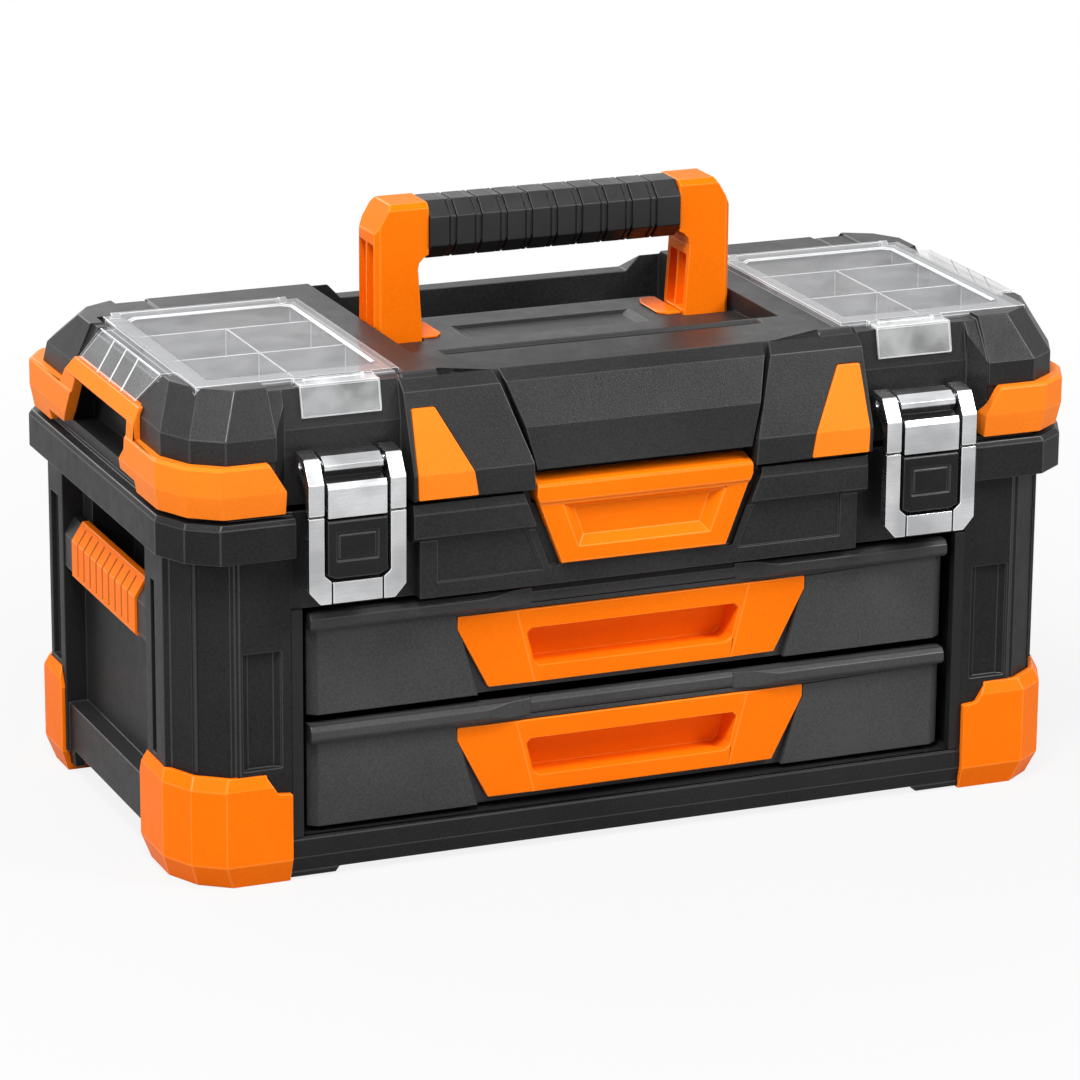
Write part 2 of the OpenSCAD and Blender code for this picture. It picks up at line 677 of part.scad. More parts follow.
// Bar inside the sleeve, with the lugs that join it to the ends of the recess
module grip_bar(side) color(charcoal) on_side(side) {
  block([grip_core[0], grip_y - grip_hy - 1, grip_low + 6], [grip_core[1], grip_y + grip_hy + 1, grip_low + grip_h - 8]);
  for (end = [-1, 1]) {
    from = end < 0 ? -recess_front : grip_y + grip_hy + seat_gap;
    to = end < 0 ? grip_y - grip_hy - seat_gap : recess_rear;
    along_y(from, to, [[grip_face - grip_t + 1, grip_low + 1.5], [grip_face - 2.5, grip_low + 1.5],
      [grip_face - 1.5, grip_low + 3], [grip_face - 1.5, grip_low + grip_h - 12],
      [grip_face - 7.5, grip_low + grip_h - 2.5], [grip_face - grip_t + 1, grip_low + grip_h - 2.5]]);
  }
}

// Ramp behind each latch that its lower bar swings against
module latch_keeper(side) color(charcoal) on_side(side) {
  along_x(latch_x - 13, latch_x + 13, [[-case_front, latch_low + 8], [-latch_face + latch_t + 4, latch_low + 10],
    [-latch_face + latch_t + 8, latch_low + 24], [-case_front, latch_low + 27]]);
}

// ---------------------------------------------------------------- hinges

knuckle = hinge_len / 3;

// Leaf and middle knuckle on the case
module hinge_leaf(side) color(charcoal) on_side(side) difference() {
  union() {
    block([hinge_x - knuckle / 2 + seat_gap, rim_rear, rim_low + 1],
      [hinge_x + knuckle / 2 - seat_gap, rim_rear + wall, hinge_z - barrel_d / 4]);
    rod(hinge_x - knuckle / 2 + seat_gap, hinge_x + knuckle / 2 - seat_gap, hinge_y, hinge_z, barrel_d);
    block([hinge_x - hinge_len / 2, rim_rear, rim_low + 1],
      [hinge_x + hinge_len / 2, rim_rear + wall, hinge_z - barrel_d / 2 - 1]);
  }
  rod(0, far, hinge_y, hinge_z, hinge_pin_d + 2 * pin_gap);
}

module hinge_pin(side) color(steel) on_side(side) {
  rod(hinge_x - hinge_len / 2 + 1, hinge_x + hinge_len / 2 - 1, hinge_y, hinge_z, hinge_pin_d);
}

// Leaf and outer knuckles on the lid
module lid_hinge(side) color(charcoal) on_side(side) difference() {
  union() {
    block([hinge_x - hinge_len / 2, lid_rear, lid_low + 5], [hinge_x + hinge_len / 2, lid_rear + wall, lid_low + 13]);
  for (end = [-1, 1]) {
    from = hinge_x + (end < 0 ? -hinge_len / 2 : knuckle / 2);
    rod(from, from + knuckle, hinge_y, hinge_z, barrel_d);
    along_x(from, from + knuckle, [[lid_rear, lid_low + 1], [hinge_y, lid_low + 1],
      [hinge_y + barrel_d / 2 - 0.6, hinge_z + 2], [hinge_y + 1, lid_low + 6], [lid_rear + wall, lid_low + 13],
      [lid_rear, lid_low + 14]]);
    }
  }
  rod(0, far, hinge_y, hinge_z, hinge_pin_d + 2 * pin_gap);
}

// ---------------------------------------------------------------- drawers

module drawer_tray(level) color(charcoal) {
  low = drawer_z(level) + 3;
  hx = bay_hx - rail_w - slide_gap;
  face = front_face - front_t;
  rail = drawer_z(level) + rail_low;
  difference() {
    block([-hx, -face, low], [hx, drawer_back, low + tray_h]);
    block([-hx + tray_t, -face + tray_t, low + tray_t], [hx - tray_t, drawer_back - tray_t, far]);
    // room for the cup of the finger pull
    along_y(-far, -face + tray_t + 1, pull_outline(level, tray_t + seat_gap));
  }
  both_sides() block([hx, -face + 12, rail], [bay_hx - strip_t - slide_gap, drawer_back, rail + rail_h]);
}

// Outlines of the bezel and of its finger pull, seen from the front
function bezel_outline(level, grow) = let (z = drawer_z(level) + front_h - ledge_h - 3)
  [[-bezel_low_hx - grow, z - bezel_h - grow], [bezel_low_hx + grow, z - bezel_h - grow],
   [bezel_top_hx + grow, z - 8], [bezel_top_hx + grow, z + grow],
   [-bezel_top_hx - grow, z + grow], [-bezel_top_hx - grow, z - 8]];
function pull_outline(level, grow) = let (c = 3, high = drawer_z(level) + front_h - ledge_h - 14.5 + grow,
  low = high - pull_h - 2 * grow, top_hx = pull_hx + grow, low_hx = pull_hx - 4.6 + grow)
  [[-low_hx + c, low], [low_hx - c, low], [low_hx + 0.4, low + c], [top_hx, high - c], [top_hx - c, high],
   [-top_hx + c, high], [-top_hx, high - c], [-low_hx - 0.4, low + c]];

bezel_t = 3;
bezel_out = 1;                  // how far the bezel stands out beside the pull
joggle = [64, 91];              // where the ledge starts and ends stepping back over the bezel
joggle_set = 4.3;               // how far it steps back

// Side view of the ledge along the top of a drawer front, set back by t
function ledge(top, t) = let (front = -front_face - ledge_out + t)
  [[-front_face + front_t, top - ledge_h], [front + 2, top - ledge_h], [front, top - ledge_h + 2.4],
   [front, top - 3], [front + 2.6, top], [-front_face + front_t, top]];

module drawer_front(level) color(charcoal) {
  low = drawer_z(level);
  top = low + front_h;
  back = front_face - front_t;
  difference() {
    union() {
      // panel with bevelled ends
      translate([0, 0, low]) linear_extrude(front_h - ledge_h + 1)
        polygon([[-front_hx, -back], [-front_hx, -front_face + 3.5], [-front_hx + 5.4, -front_face],
          [front_hx - 5.4, -front_face], [front_hx, -front_face + 3.5], [front_hx, -back]]);
      // ledge along the top, stepped back over the bezel
      along_x(-joggle[0], joggle[0], ledge(top, joggle_set));
      both_sides() difference() {
        along_x(joggle[0], front_hx, ledge(top, 0));
        linear_extrude(far) polygon([[joggle[0] - 1, -far], [joggle[0] - 1, -front_face - ledge_out + joggle_set],
          [joggle[0], -front_face - ledge_out + joggle_set], [joggle[1], -front_face - ledge_out], [joggle[1], -far]]);
      }
    }
    // seat of the bezel, with a slanted relief at both ends
    along_y(-far, -front_face + bezel_t, bezel_outline(level, seat_gap));
    both_sides() along_y(-far, -front_face + 4.4, [[bezel_low_hx - 6, low - 1], [bezel_low_hx + 6, low - 1],
      [bezel_top_hx + 1, top - ledge_h - 3], [bezel_low_hx, top - ledge_h - 3]]);
    block([-bezel_low_hx, -far, low - 1], [bezel_low_hx, -front_face + 4.4, low + 5]);
    along_y(-far, 0, pull_outline(level, tray_t + seat_gap));
  }
}

module drawer_bezel(level) color(orange) difference() {
  union() {
    along_y(-front_face - bezel_out, -front_face + bezel_t, bezel_outline(level, 0));
    along_y(-front_face + 1, -front_face + pull_deep, pull_outline(level, tray_t));
  }
  along_y(-far, -front_face + pull_deep - tray_t, pull_outline(level, 0));
  // the wings fold back from slanted lines beside the pull
  both_sides() translate([62.2, -front_face - bezel_out, drawer_z(level) + 5.3]) rotate([0, 14.4, 0])
    translate([0, 0, -far / 2]) linear_extrude(far) polygon([[0, -5], [0, 0], [60, 1.8], [60, -5]]);
}

// ---------------------------------------------------------------- lid

block_top = 8;                  // drop of the front edge of the raised pads below the deck

// Side views of the lid's front; each is set in by t
function lid_middle(t) = [[-latch_wall + t, lid_low - (t > 0 ? 1 : 0)], [-latch_wall + t, ridge],
  [-deck_front + t, deck - t], [deck_rear - t, deck - t], [lid_rear - lean_rear - t, ridge - t],
  [lid_rear - t, lean_z], [lid_rear - t, lid_low - (t > 0 ? 1 : 0)]];
function block_side(t) = [[-block_front + t, lid_low - (t > 0 ? 1 : 0)], [-block_front + t, lid_low + 15.4],
  [-deck_front - block_top + t, deck - block_top + 1.5 - t], [-deck_front + t, deck - t], [0, deck - t],
  [0, lid_low - (t > 0 ? 1 : 0)]];
function panel_side(t) = [[-panel_front + t, panel_low - (t > 0 ? 1 : 0)], [-panel_front + 3 + t, ridge - 8.6],
  [-deck_front - block_top + t, deck - block_top + 1.5 - t], [-deck_front + t, deck - t], [0, deck - t],
  [0, panel_low - (t > 0 ? 1 : 0)]];

// Front view of one raised pad: its inner edge leans outwards
function block_face(t) = [[block_in + t, lid_low - 2], [block_in + 1 + t, lid_low + 15.4], [block_in + 18 + t, deck + 1],
  [block_out - t, deck + 1], [block_out - t, lid_low - 2]];
function panel_face(t) = [[-66.5 + t, panel_low - 2], [66.5 - t, panel_low - 2], [73.2 - t, ridge - 8.6],
  [83 - t, deck + 1], [-83 + t, deck + 1], [-73.2 + t, ridge - 8.6]];

// Levels of the faceted ends of the lid, set in by t
function lid_levels(t) = [[lid_low - (t > 0 ? 1 : 0), ring(lid_hx - t, lid_front - t, lid_rear - t)],
  [lean_z, ring(lid_hx - t, lid_front - t, lid_rear - t)],
  [ridge - t, ring(lid_hx - t, lid_front - t, lid_rear - lean_rear - t)],
  [deck - t, ring(lid_hx - lean_x - t, deck_front - t, deck_rear - t)]];
pad_levels = [[ridge - 13.7, ring(lid_hx + pad_out, lid_front + pad_out, lid_rear - 9)],
  [ridge, ring(lid_hx + pad_out, lid_front + pad_out, lid_rear - lean_rear + pad_out)],
  [deck + 2.6, ring(lid_hx - lean_x + pad_out, deck_front + pad_out, deck_rear - 2)]];

// Whole outer form of the lid, or with t its hollow
module lid_form(t) {
  reach = corner_in + (t > 0 ? t + 1 : 0);
  along_x(-reach, reach, lid_middle(t));
  both_sides() intersection() {
    loft(lid_levels(t));
    linear_extrude(far) polygon([[corner_in + t, far], [corner_in + t, -latch_wall + t],
      [corner_in + 9 + t, -lid_front - 1], [corner_in + 9 + t, -far], [far, -far], [far, far]]);
  }
  both_sides() intersection() {
    along_x(0, far, block_side(t));
    along_y(-far, 0, block_face(t));
  }
  intersection() {
    along_x(-far, far, panel_side(t));
    along_y(-far, 0, panel_face(t));
  }
}

// Raised covers on the four corners of the lid
module corner_covers() {
  side_y = lid_front + pad_out - pad_len;
  pad_rear = org_rear - 6;
  both_sides() intersection() {
    loft(pad_levels);
    union() {
      along_x(0, far, [[-far, 0], [-side_y, 0], [-side_y, ridge], [-side_y - 21, deck + 4], [-far, deck + 4]]);
      block([0, pad_rear, 0], [far, far, deck + 0.8]);
    }
    union() {
      linear_extrude(far) polygon([[corner_in + 8.5, -lid_front + 0.5], [corner_in + 10, -far], [far, -far], [far, 0],
        [corner_in + 8.5, 0]]);
      along_y(0, far, [[corner_in + 27, 0], [corner_in + 27, far], [far, far], [far, 0]]);
      block([org_out + 3, -far, 0], [far, far, far]);
    }
  }
}

channel_x = post_out - post_w - post_flare - 1;         // inner side of the channels for the posts
cap_w = 14;                     // width of the coloured caps beside the posts

// Space for the folding handle; grown by t it is the tub around it
module handle_space(t) {
  block([-well_hx - t, well_front - t, well_floor - t], [well_hx + t, well_rear + t, far]);
  both_sides() block([channel_x - t, pivot_y - post_hy - 2 - t, pivot_z - post_hy - 1.5 - t],
    [well_hx + t, well_front + t, far]);
}

// Space for one organiser; grown by t it is the tub around it
module organiser_space(t) {
  block([org_in + org_rim - 1.5 - t, -org_front + org_rim - 1.5 - t, deck - org_deep - 2 - t],
    [org_out - org_rim + 1.5 + t, org_rear - org_rim + 1.5 + t, far]);
}

// Seat of an organiser in the deck; grown by t it is the deck under it
module seat_block(t) {
  block([org_in - 2.5 - t, -org_front - 1 - t, org_seat - t], [org_out + 1.2 + t, org_rear + 7 + t, far]);
}

// Hand recess in the lid's side, behind the window of the trim
hand_z = [lid_low + 7.4, ridge - 7.7];
module hand_recess(t) {
  along_x(lid_hx - 15 - t, far, [[-62 - t, hand_z[0] - t], [62 + t, hand_z[0] - t], [62 + t, hand_z[0] + 9],
    [46 + t, hand_z[1] + t], [-66 - t, hand_z[1] + t], [-66 - t, hand_z[0] + 13]]);
}

// Outline of the coloured pads' accents, seen from the front
function accent(grow) = let (x = block_out, low = lid_low + 0.8 - grow, bend = lid_low + 15.4, high = deck - 15.5 + grow)
  [[x - 38.8 - grow, low], [x - 2.8 + grow, low], [x - 2.4 + grow, bend], [x - 3.6 + grow, high],
   [x - 17.5 - grow, high], [x - 36.3 - grow, bend]];
accent_deep = 1.5;

module deck_details() {
  // platform in front of the handle well, with a ramp up to the deck
  along_x(-well_hx, well_hx, [[-platform_front, platform], [-platform_front - 6, deck + 1],
    [well_front + 1, deck + 1], [well_front + 1, platform]]);
  // shallow tray in the platform
  intersection() {
    along_y(-22, 13, [[-53, platform - 2.2], [-60, platform + 1], [60, platform + 1], [53, platform - 2.2]]);
    along_x(-far, far, [[-17, platform - 2.2], [-21, platform + 1], [12.5, platform + 1], [8, platform - 2.2]]);
  }
  // long groove in the front of the deck
  intersection() {
    along_x(-well_hx + 14, well_hx - 14, [[-87, deck - 1.8], [-91, deck + 1], [-79, deck + 1], [-80.5, deck - 1.8]]);
    along_y(-far, 0, [[-well_hx + 19, deck - 1.8], [-well_hx + 13, deck + 1], [well_hx - 13, deck + 1],
      [well_hx - 19, deck - 1.8]]);
  }
  // lowered rail behind the handle
  along_y(well_rear - 1, far, [[-well_hx + 22, platform], [-well_hx + 10, deck + 1], [well_hx - 10, deck + 1],
    [well_hx - 22, platform]]);
  // seats of the organisers and their hinges, and notches in the rear rail
  both_sides() {
    seat_block(0);
    block([org_out, -82, org_seat], [far, 40, far]);
    block([org_in + 3, org_rear - org_rim, deck - org_barrel_d / 2 - 1], [org_out - 3, org_rear + 7, far]);
    block([corner_in + 6, deck_rear - 4, deck - 2], [corner_in + 27, far, far]);
    block([corner_in + 6, org_rear + 7, deck - 1], [corner_in + 9, far, far]);
  }
}

module lid_shell() color(charcoal) difference() {
  union() {
    difference() {
      union() {
        lid_form(0);
        corner_covers();
        // low ridge beside each organiser's front corner
        both_sides() along_x(org_in - 19, org_in + 3, [[-deck_front - 1, deck - 1], [-deck_front + 1, deck + 1.6],
          [-deck_front + 2.5, deck + 2.4], [-deck_front + 6, deck + 2.4], [-deck_front + 7.5, deck - 1]]);
      }
      difference() {
        lid_form(wall);
        handle_space(wall);
        both_sides() {
          organiser_space(wall);
          hand_recess(wall);
          seat_block(wall);
        }
        // deck under the platform
        along_x(-well_hx - wall, well_hx + wall, [[-platform_front - wall, platform - wall],
          [-platform_front - 6 - wall, far], [well_rear + wall + 30, far], [well_rear + wall + 30, platform - wall - 2]]);
      }
    }
  }
  handle_space(0);
  deck_details();
  both_sides() {
    organiser_space(0);
    hand_recess(0);
    // seats of the accents
    intersection() {
      along_y(-far, 0, accent(seat_gap));
      difference() {
        block([0, -far, 0], [far, 0, far]);
        along_x(0, far, block_side(accent_deep));
      }
    }
    // bores of the handle's pivot pins
    rod(0, well_hx + wall - 0.7, pivot_y, pivot_z, pivot_d + 2 * pin_gap);
    // gap under the clasp and room for the cover's flap
    block([clasp_in - 1, -org_front - 8, deck - 2.2], [clasp_out + 1, -org_front + org_rim, far]);
  }
}

trim_hx = lid_hx + 7;
trim_front = lid_front + 7.3;
trim_rear = lid_rear + 2;
trim_top = ridge - 13.7;
trim_bar = ridge + 5.3;         // top of the bar over the window

// Coloured band around one end of the lid, with the window of its hand recess
module lid_trim(side) color(orange) on_side(side) {
  difference() {
    intersection() {
      union() {
        loft([[lid_low + 0.4, ring(trim_hx - 2.2, trim_front - 2.2, trim_rear - 2.2)],
          [lid_low + 13.7, ring(trim_hx, trim_front, trim_rear)], [trim_top - 1.5, ring(trim_hx, trim_front, trim_rear)],
          [trim_top, ring(trim_hx - 1.5, trim_front - 1.5, trim_rear - 1.5)]]);
        // bar over the window, leaning in with the lid's side
        intersection() {
          loft([[trim_top - 2, ring(trim_hx - 1, trim_front, trim_rear)],
            [ridge - 4, ring(trim_hx - 1, trim_front, trim_rear)],
            [trim_bar, ring(trim_hx - 4.5, trim_front, trim_rear)]]);
          along_x(0, far, [[-76, trim_top - 12], [-76, trim_bar], [44, trim_bar], [62, trim_bar - 18], [62, trim_top - 12]]);
        }
      }
      along_y(-far, far, [[corner_in + 4.6, 0], [corner_in + 4.6, lid_low + 13.7], [corner_in + 15.3, trim_top + 1],
        [corner_in + 15.3, far], [far, far], [far, 0]]);
    }
    lid_form(0);
    corner_covers();
    // window and the notch behind it
    low = lid_low + 7;
    high = ridge - 4.9;
    along_x(0, far, [[-76, 0], [-76, low], [-50.4, low + 0.5], [-50.7, low + 7.2], [-60, low + 14.3], [-63.4, high],
      [33.4, high], [50.5, low + 7.2], [56.8, low], [85.7, low], [85.7, 0]]);
  }
}

// Coloured accent on one raised pad
module lid_accent(side) color(orange) on_side(side) intersection() {
  along_y(-far, 0, accent(0));
  difference() {
    along_x(block_out - 43, block_out, block_side(-0.9));
    along_x(block_out - 44, block_out + 1, block_side(accent_deep));
  }
}

// ---------------------------------------------------------------- latches

ear_top = latch_pivot_z + 7;            // top of a latch's ears
ear_front = latch_pivot_y + 6.7;        // front edge of the ears' top
knee_z = latch_pivot_z - 7.8;    // level where a latch bends in towards its pivot
seam_z = case_top + 1.8;                // level of the split line across a latch
win_low = latch_low + 12.5;             // lower edge of the window between the bars

// Side view of a latch's bars
bar_side = [[-latch_face, latch_low], [-latch_face, knee_z], [-ear_front, ear_top - 2], [-latch_pivot_y + 6.5, ear_top],
  [-latch_pivot_y + 6.5, latch_pivot_z - 4.5], [-latch_face + latch_t + 6, latch_pivot_z - 8],
  [-latch_face + latch_t, knee_z - 7], [-latch_face + latch_t, latch_low]];

// Front view of a latch: bevelled lower corners
latch_outline = [[latch_x - latch_hx, 0 + latch_low + 7.5], [latch_x - latch_hx + 6.5, latch_low],
  [latch_x + latch_hx - 6.5, latch_low], [latch_x + latch_hx, latch_low + 7.5],
  [latch_x + latch_hx, far], [latch_x - latch_hx, far]];

// Window between the bars, with bevelled lower corners
function latch_window(grow) = [[latch_x - latch_hx + bar_w - grow, win_low + 4], [latch_x - latch_hx + bar_w + 4.5 - grow, win_low - grow],
  [latch_x + latch_hx - bar_w - 4.5 + grow, win_low - grow], [latch_x + latch_hx - bar_w + grow, win_low + 4],
  [latch_x + latch_hx - bar_w + grow, far], [latch_x - latch_hx + bar_w - grow, far]];

module latch_lever(side) color(silver) on_side(side) difference() {
  intersection() {
    along_x(latch_x - latch_hx, latch_x + latch_hx, bar_side);
    along_y(-far, 0, latch_outline);
  }
  along_y(-far, 0, latch_window(0));
  // split line across the bars, and mitre lines at the lower corners
  block([0, -far, seam_z - 0.6], [far, -latch_face + 1.6, seam_z + 0.6]);
  for (end = [-1, 1]) {
    x = latch_x + end * (latch_hx - bar_w - 4.5);
    block([x - 0.4, -far, 0], [x + 0.4, -latch_face + 1, win_low + 1]);
  }
  rod(0, far, -latch_pivot_y, latch_pivot_z, latch_pin_d + 2 * pin_gap);
}

// Dark pad inside the latch, on a plate behind its bars
module latch_pad(side) color(charcoal) on_side(side) difference() {
  pad_hx = latch_hx - bar_w - 2;
  union() {
    intersection() {
      along_x(latch_x - pad_hx, latch_x + pad_hx, [[-latch_face, win_low + 1.5],
        [-latch_face, case_top - 2], [-latch_face + 1, case_top - 1.2], [-latch_face + latch_t, case_top - 1.2],
        [-latch_face + latch_t, win_low + 1.5]]);
      along_y(-far, 0, latch_window(-2));
    }
    along_x(latch_x - latch_hx + 2, latch_x + latch_hx - 2, [[-latch_face + latch_t, latch_low + 8],
      [-latch_face + latch_t, case_top - 2], [-latch_face + latch_t + 2, case_top - 3],
      [-latch_face + latch_t + 2, latch_low + 9]]);
  }
  // pressed rectangle
  difference() {
    block([latch_x - 12.5, -far, case_top - 25], [latch_x + 12.5, -latch_face + 0.8, case_top - 8.5]);
    block([latch_x - 11, -far, case_top - 23.5], [latch_x + 11, 0, case_top - 10]);
  }
}

// Fixed middle of a latch: the knuckle around the pivot pin, with the plate in front of it
module latch_mount(side) color(silver) on_side(side) difference() {
  hx = latch_hx - bar_w - 2;
  front = -latch_face - plate_out;
  along_x(latch_x - hx, latch_x + hx, [[-latch_wall, seam_z + 2], [-latch_wall, latch_pivot_z + 3],
    [-latch_pivot_y + 6, latch_pivot_z + 5.8], [-latch_pivot_y - 3, latch_pivot_z + 5.2],
    [-latch_pivot_y - 9, latch_pivot_z + 1.3], [-latch_pivot_y - 9.3, latch_pivot_z - 1.6],
    [-latch_pivot_y - 6.6, knee_z + 1.8], [front + 3.6, knee_z - 0.8], [front + 1.6, knee_z], [front, knee_z - 3.5],
    [front, seam_z - 1.4], [front + 3.4, seam_z - 1.4], [front + 3.4, seam_z + 2]]);
  rod(0, far, -latch_pivot_y, latch_pivot_z, latch_pin_d + 2 * pin_gap);
}

module latch_pin(side) color(steel) on_side(side)
  rod(latch_x - latch_hx + 1, latch_x + latch_hx - 1, -latch_pivot_y, latch_pivot_z, latch_pin_d);

// ---------------------------------------------------------------- handle

// Coloured cap beside a post, over its pivot pin
module pivot_block(side) color(orange) on_side(side)
  translate([0, 0, platform]) linear_extrude(1.2)
    polygon([[channel_x, -11], [channel_x - 9, -11], [channel_x - cap_w, -5], [channel_x - cap_w, 19],
      [channel_x - 10, 29], [channel_x, 29]]);

// Steel pin through a post, held in the walls of the handle recess
module handle_pin(side) color(steel) on_side(side)
  rod(channel_x - wall, well_hx + wall - 1, pivot_y, pivot_z, pivot_d);

post_in = post_out - post_w;
arm_in = post_in - 6.8;         // inner end of the arms
arm_low = handle_top - arm_h;

// Front view of a post with its arm towards the grip
post_face = [[post_in - post_flare, pivot_z - post_hy], [post_out, pivot_z - post_hy], [post_out, handle_top - 17],
  [post_out - 10, handle_top], [arm_in, handle_top], [arm_in, arm_low], [post_in - 3.6, arm_low - 1.8],
  [post_in - 0.8, arm_low - 4.8], [post_in, arm_low - 9], [post_in - post_flare, platform + 2]];

module handle_post(side) color(orange) on_side(side) difference() {
  edge = 3;
  translate([0, pivot_y, 0]) intersection() {
    along_y(-post_hy, post_hy, post_face);
    // rounded foot and bevelled top
    along_x(0, far, concat([for (a = [180:15:360]) [post_hy * cos(a), pivot_z + post_hy * sin(a)]],
      [[post_hy, handle_top - edge], [post_hy - edge, handle_top], [-post_hy + edge, handle_top],
        [-post_hy, handle_top - edge]]));
    // bevelled upright edges
    linear_extrude(far) polygon([[0, -post_hy], [post_out - edge, -post_hy],
      [post_out, -post_hy + edge], [post_out, post_hy - edge], [post_out - edge, post_hy], [0, post_hy]]);
  }
  // channels with a rib between them, in both flanks
  for (y = [pivot_y - 11.5, pivot_y + 1]) {
    along_y(y, y + 10.5, [[post_out - 7, platform + 2], [far, platform + 2], [far, handle_top - 19],
      [post_out - 7, handle_top - 24]]);
    along_y(y, y + 10.5, [[0, platform + 2], [post_in - post_flare + 7, platform + 2], [post_in + 7, arm_low - 16],
      [0, arm_low - 9]]);
  }
  rod(0, far, pivot_y, pivot_z, pivot_d + 2 * pin_gap);
  rod(0, post_out - 6, pivot_y, hold_z, core_d + 2 * pin_gap);
}

core_d = 16;
hold_z = handle_top - hold_h / 2;                      // middle of the grip
hold_hx = arm_in - seat_gap / 2;                       // half length of the grip

// Steel tube through the grip, into both posts
module handle_core() color(steel) difference() {
  rod(-post_out + 7, post_out - 7, pivot_y, hold_z, core_d);
  rod(-far, far, pivot_y, hold_z, core_d - 4);
}

// Eight-sided outline of the grip, set in by t
function hold_outline(t) = let (h = hold_h / 2 - t, c = 8.5)
  [[-h, -h + c], [-h + c, -h], [h - c, -h], [h, -h + c], [h, h - c], [h - c, h], [-h + c, h], [-h, h - c]];

module handle_grip() color(rubber) translate([0, pivot_y, hold_z]) difference() {
  step = 2 * hold_hx / hold_segments;
  union() {
    rotate([90, 0, 90]) translate([0, 0, -hold_hx]) linear_extrude(2 * hold_hx) polygon(hold_outline(1.3));
    for (i = [0:hold_segments - 1]) {
      from = -hold_hx + i * step + (i == 0 ? 0 : hold_groove / 2);
      to = -hold_hx + (i + 1) * step - (i == hold_segments - 1 ? 0 : hold_groove / 2);
      rotate([90, 0, 90]) translate([0, 0, from]) linear_extrude(to - from - (i == hold_segments - 1 ? 0 : hold_band + 0.8))
        polygon(hold_outline(0));
      rotate([90, 0, 90]) translate([0, 0, from]) linear_extrude(to - from) polygon(hold_outline(0.6));
      rotate([90, 0, 90]) translate([0, 0, to - hold_band]) linear_extrude(hold_band) polygon(hold_outline(0));
    }
  }
  rod(-far, far, 0, 0, core_d + 2 * pin_gap);
}

// ---------------------------------------------------------------- organisers

org_seat = deck - 3;                    // seat of an organiser in the deck
org_base = org_seat + seat_gap;         // underside of the organiser's rim
org_rim_t = 3.2;
skirt_t = 1.6;                          // thickness of the cover's skirt around the rim
cover_z = org_base + org_rim_t + seat_gap;
cover_t = 2.2;
org_hinge = [org_rear + 2.6, cover_z + 0.2];
tub_in = org_in + org_rim;
tub_out = org_out - org_rim;
tub_front = org_front - org_rim;
tub_rear = org_rear - org_rim;

module organiser_tray(side) color(clear) on_side(side) difference() {
  union() {
    difference() {
      union() {
        block([tub_in, -tub_front, deck - org_deep], [tub_out, tub_rear, org_base + 1]);
        block([org_in + skirt_t + seat_gap, -org_front + skirt_t + seat_gap, org_base],
          [org_out - skirt_t - seat_gap, org_rear - 1, org_base + org_rim_t]);
      }
      block([tub_in + org_t, -tub_front + org_t, deck - org_deep + org_t], [tub_out - org_t, tub_rear - org_t, far]);
    }
    // dividers
    middle = (org_in + org_out) / 2 - 2;
    top = org_base + org_rim_t - 0.7;
    block([tub_in, divider_rear - org_t / 2, deck - org_deep], [tub_out, divider_rear + org_t / 2, top]);
    block([tub_in, -divider_front - org_t / 2, deck - org_deep], [tub_out, -divider_front + org_t / 2, top]);
    block([middle - org_t / 2, -tub_front, deck - org_deep], [middle + org_t / 2, divider_rear, top]);
    // ears of the cover's hinge
    for (x = [org_in + 6, org_out - 11]) {
      rod(x, x + 5, org_hinge[0], org_hinge[1], org_barrel_d);
      block([x, org_rear - 4, org_base], [x + 5, org_hinge[0], org_hinge[1] - 0.5]);
    }
  }
  rod(0, far, org_hinge[0], org_hinge[1], org_pin_d + 2 * pin_gap);
}

clasp_axis = [-org_front - 2.6, cover_z + 0.6];
clasp_d = 4;

// Outline of the cover's window, with cut corners, set in by t
function window(t) = let (c = 5, x0 = org_in + 8.5 + t, x1 = org_out - 11 - t, y0 = -org_front + 13 + t, y1 = org_rear - 10 - t)
  [[x0 + c, y0], [x1 - c, y0], [x1, y0 + c], [x1, y1 - c], [x1 - c, y1], [x0 + c, y1], [x0, y1 - c], [x0, y0 + c]];

// Front view of the flap over the lid's side, its outer face standing out by t
function flap(t) = [[org_out - 1, cover_z], [org_out - 1, cover_z + cover_t],
  [lid_hx - lean_x + 2.4 + t, cover_z + cover_t + (t > 0 ? -0.4 : 0)], [lid_hx + 2.4 + t, deck - 15.5], [lid_hx + 0.6, deck - 15.5],
  [lid_hx - lean_x + 1.2, cover_z]];

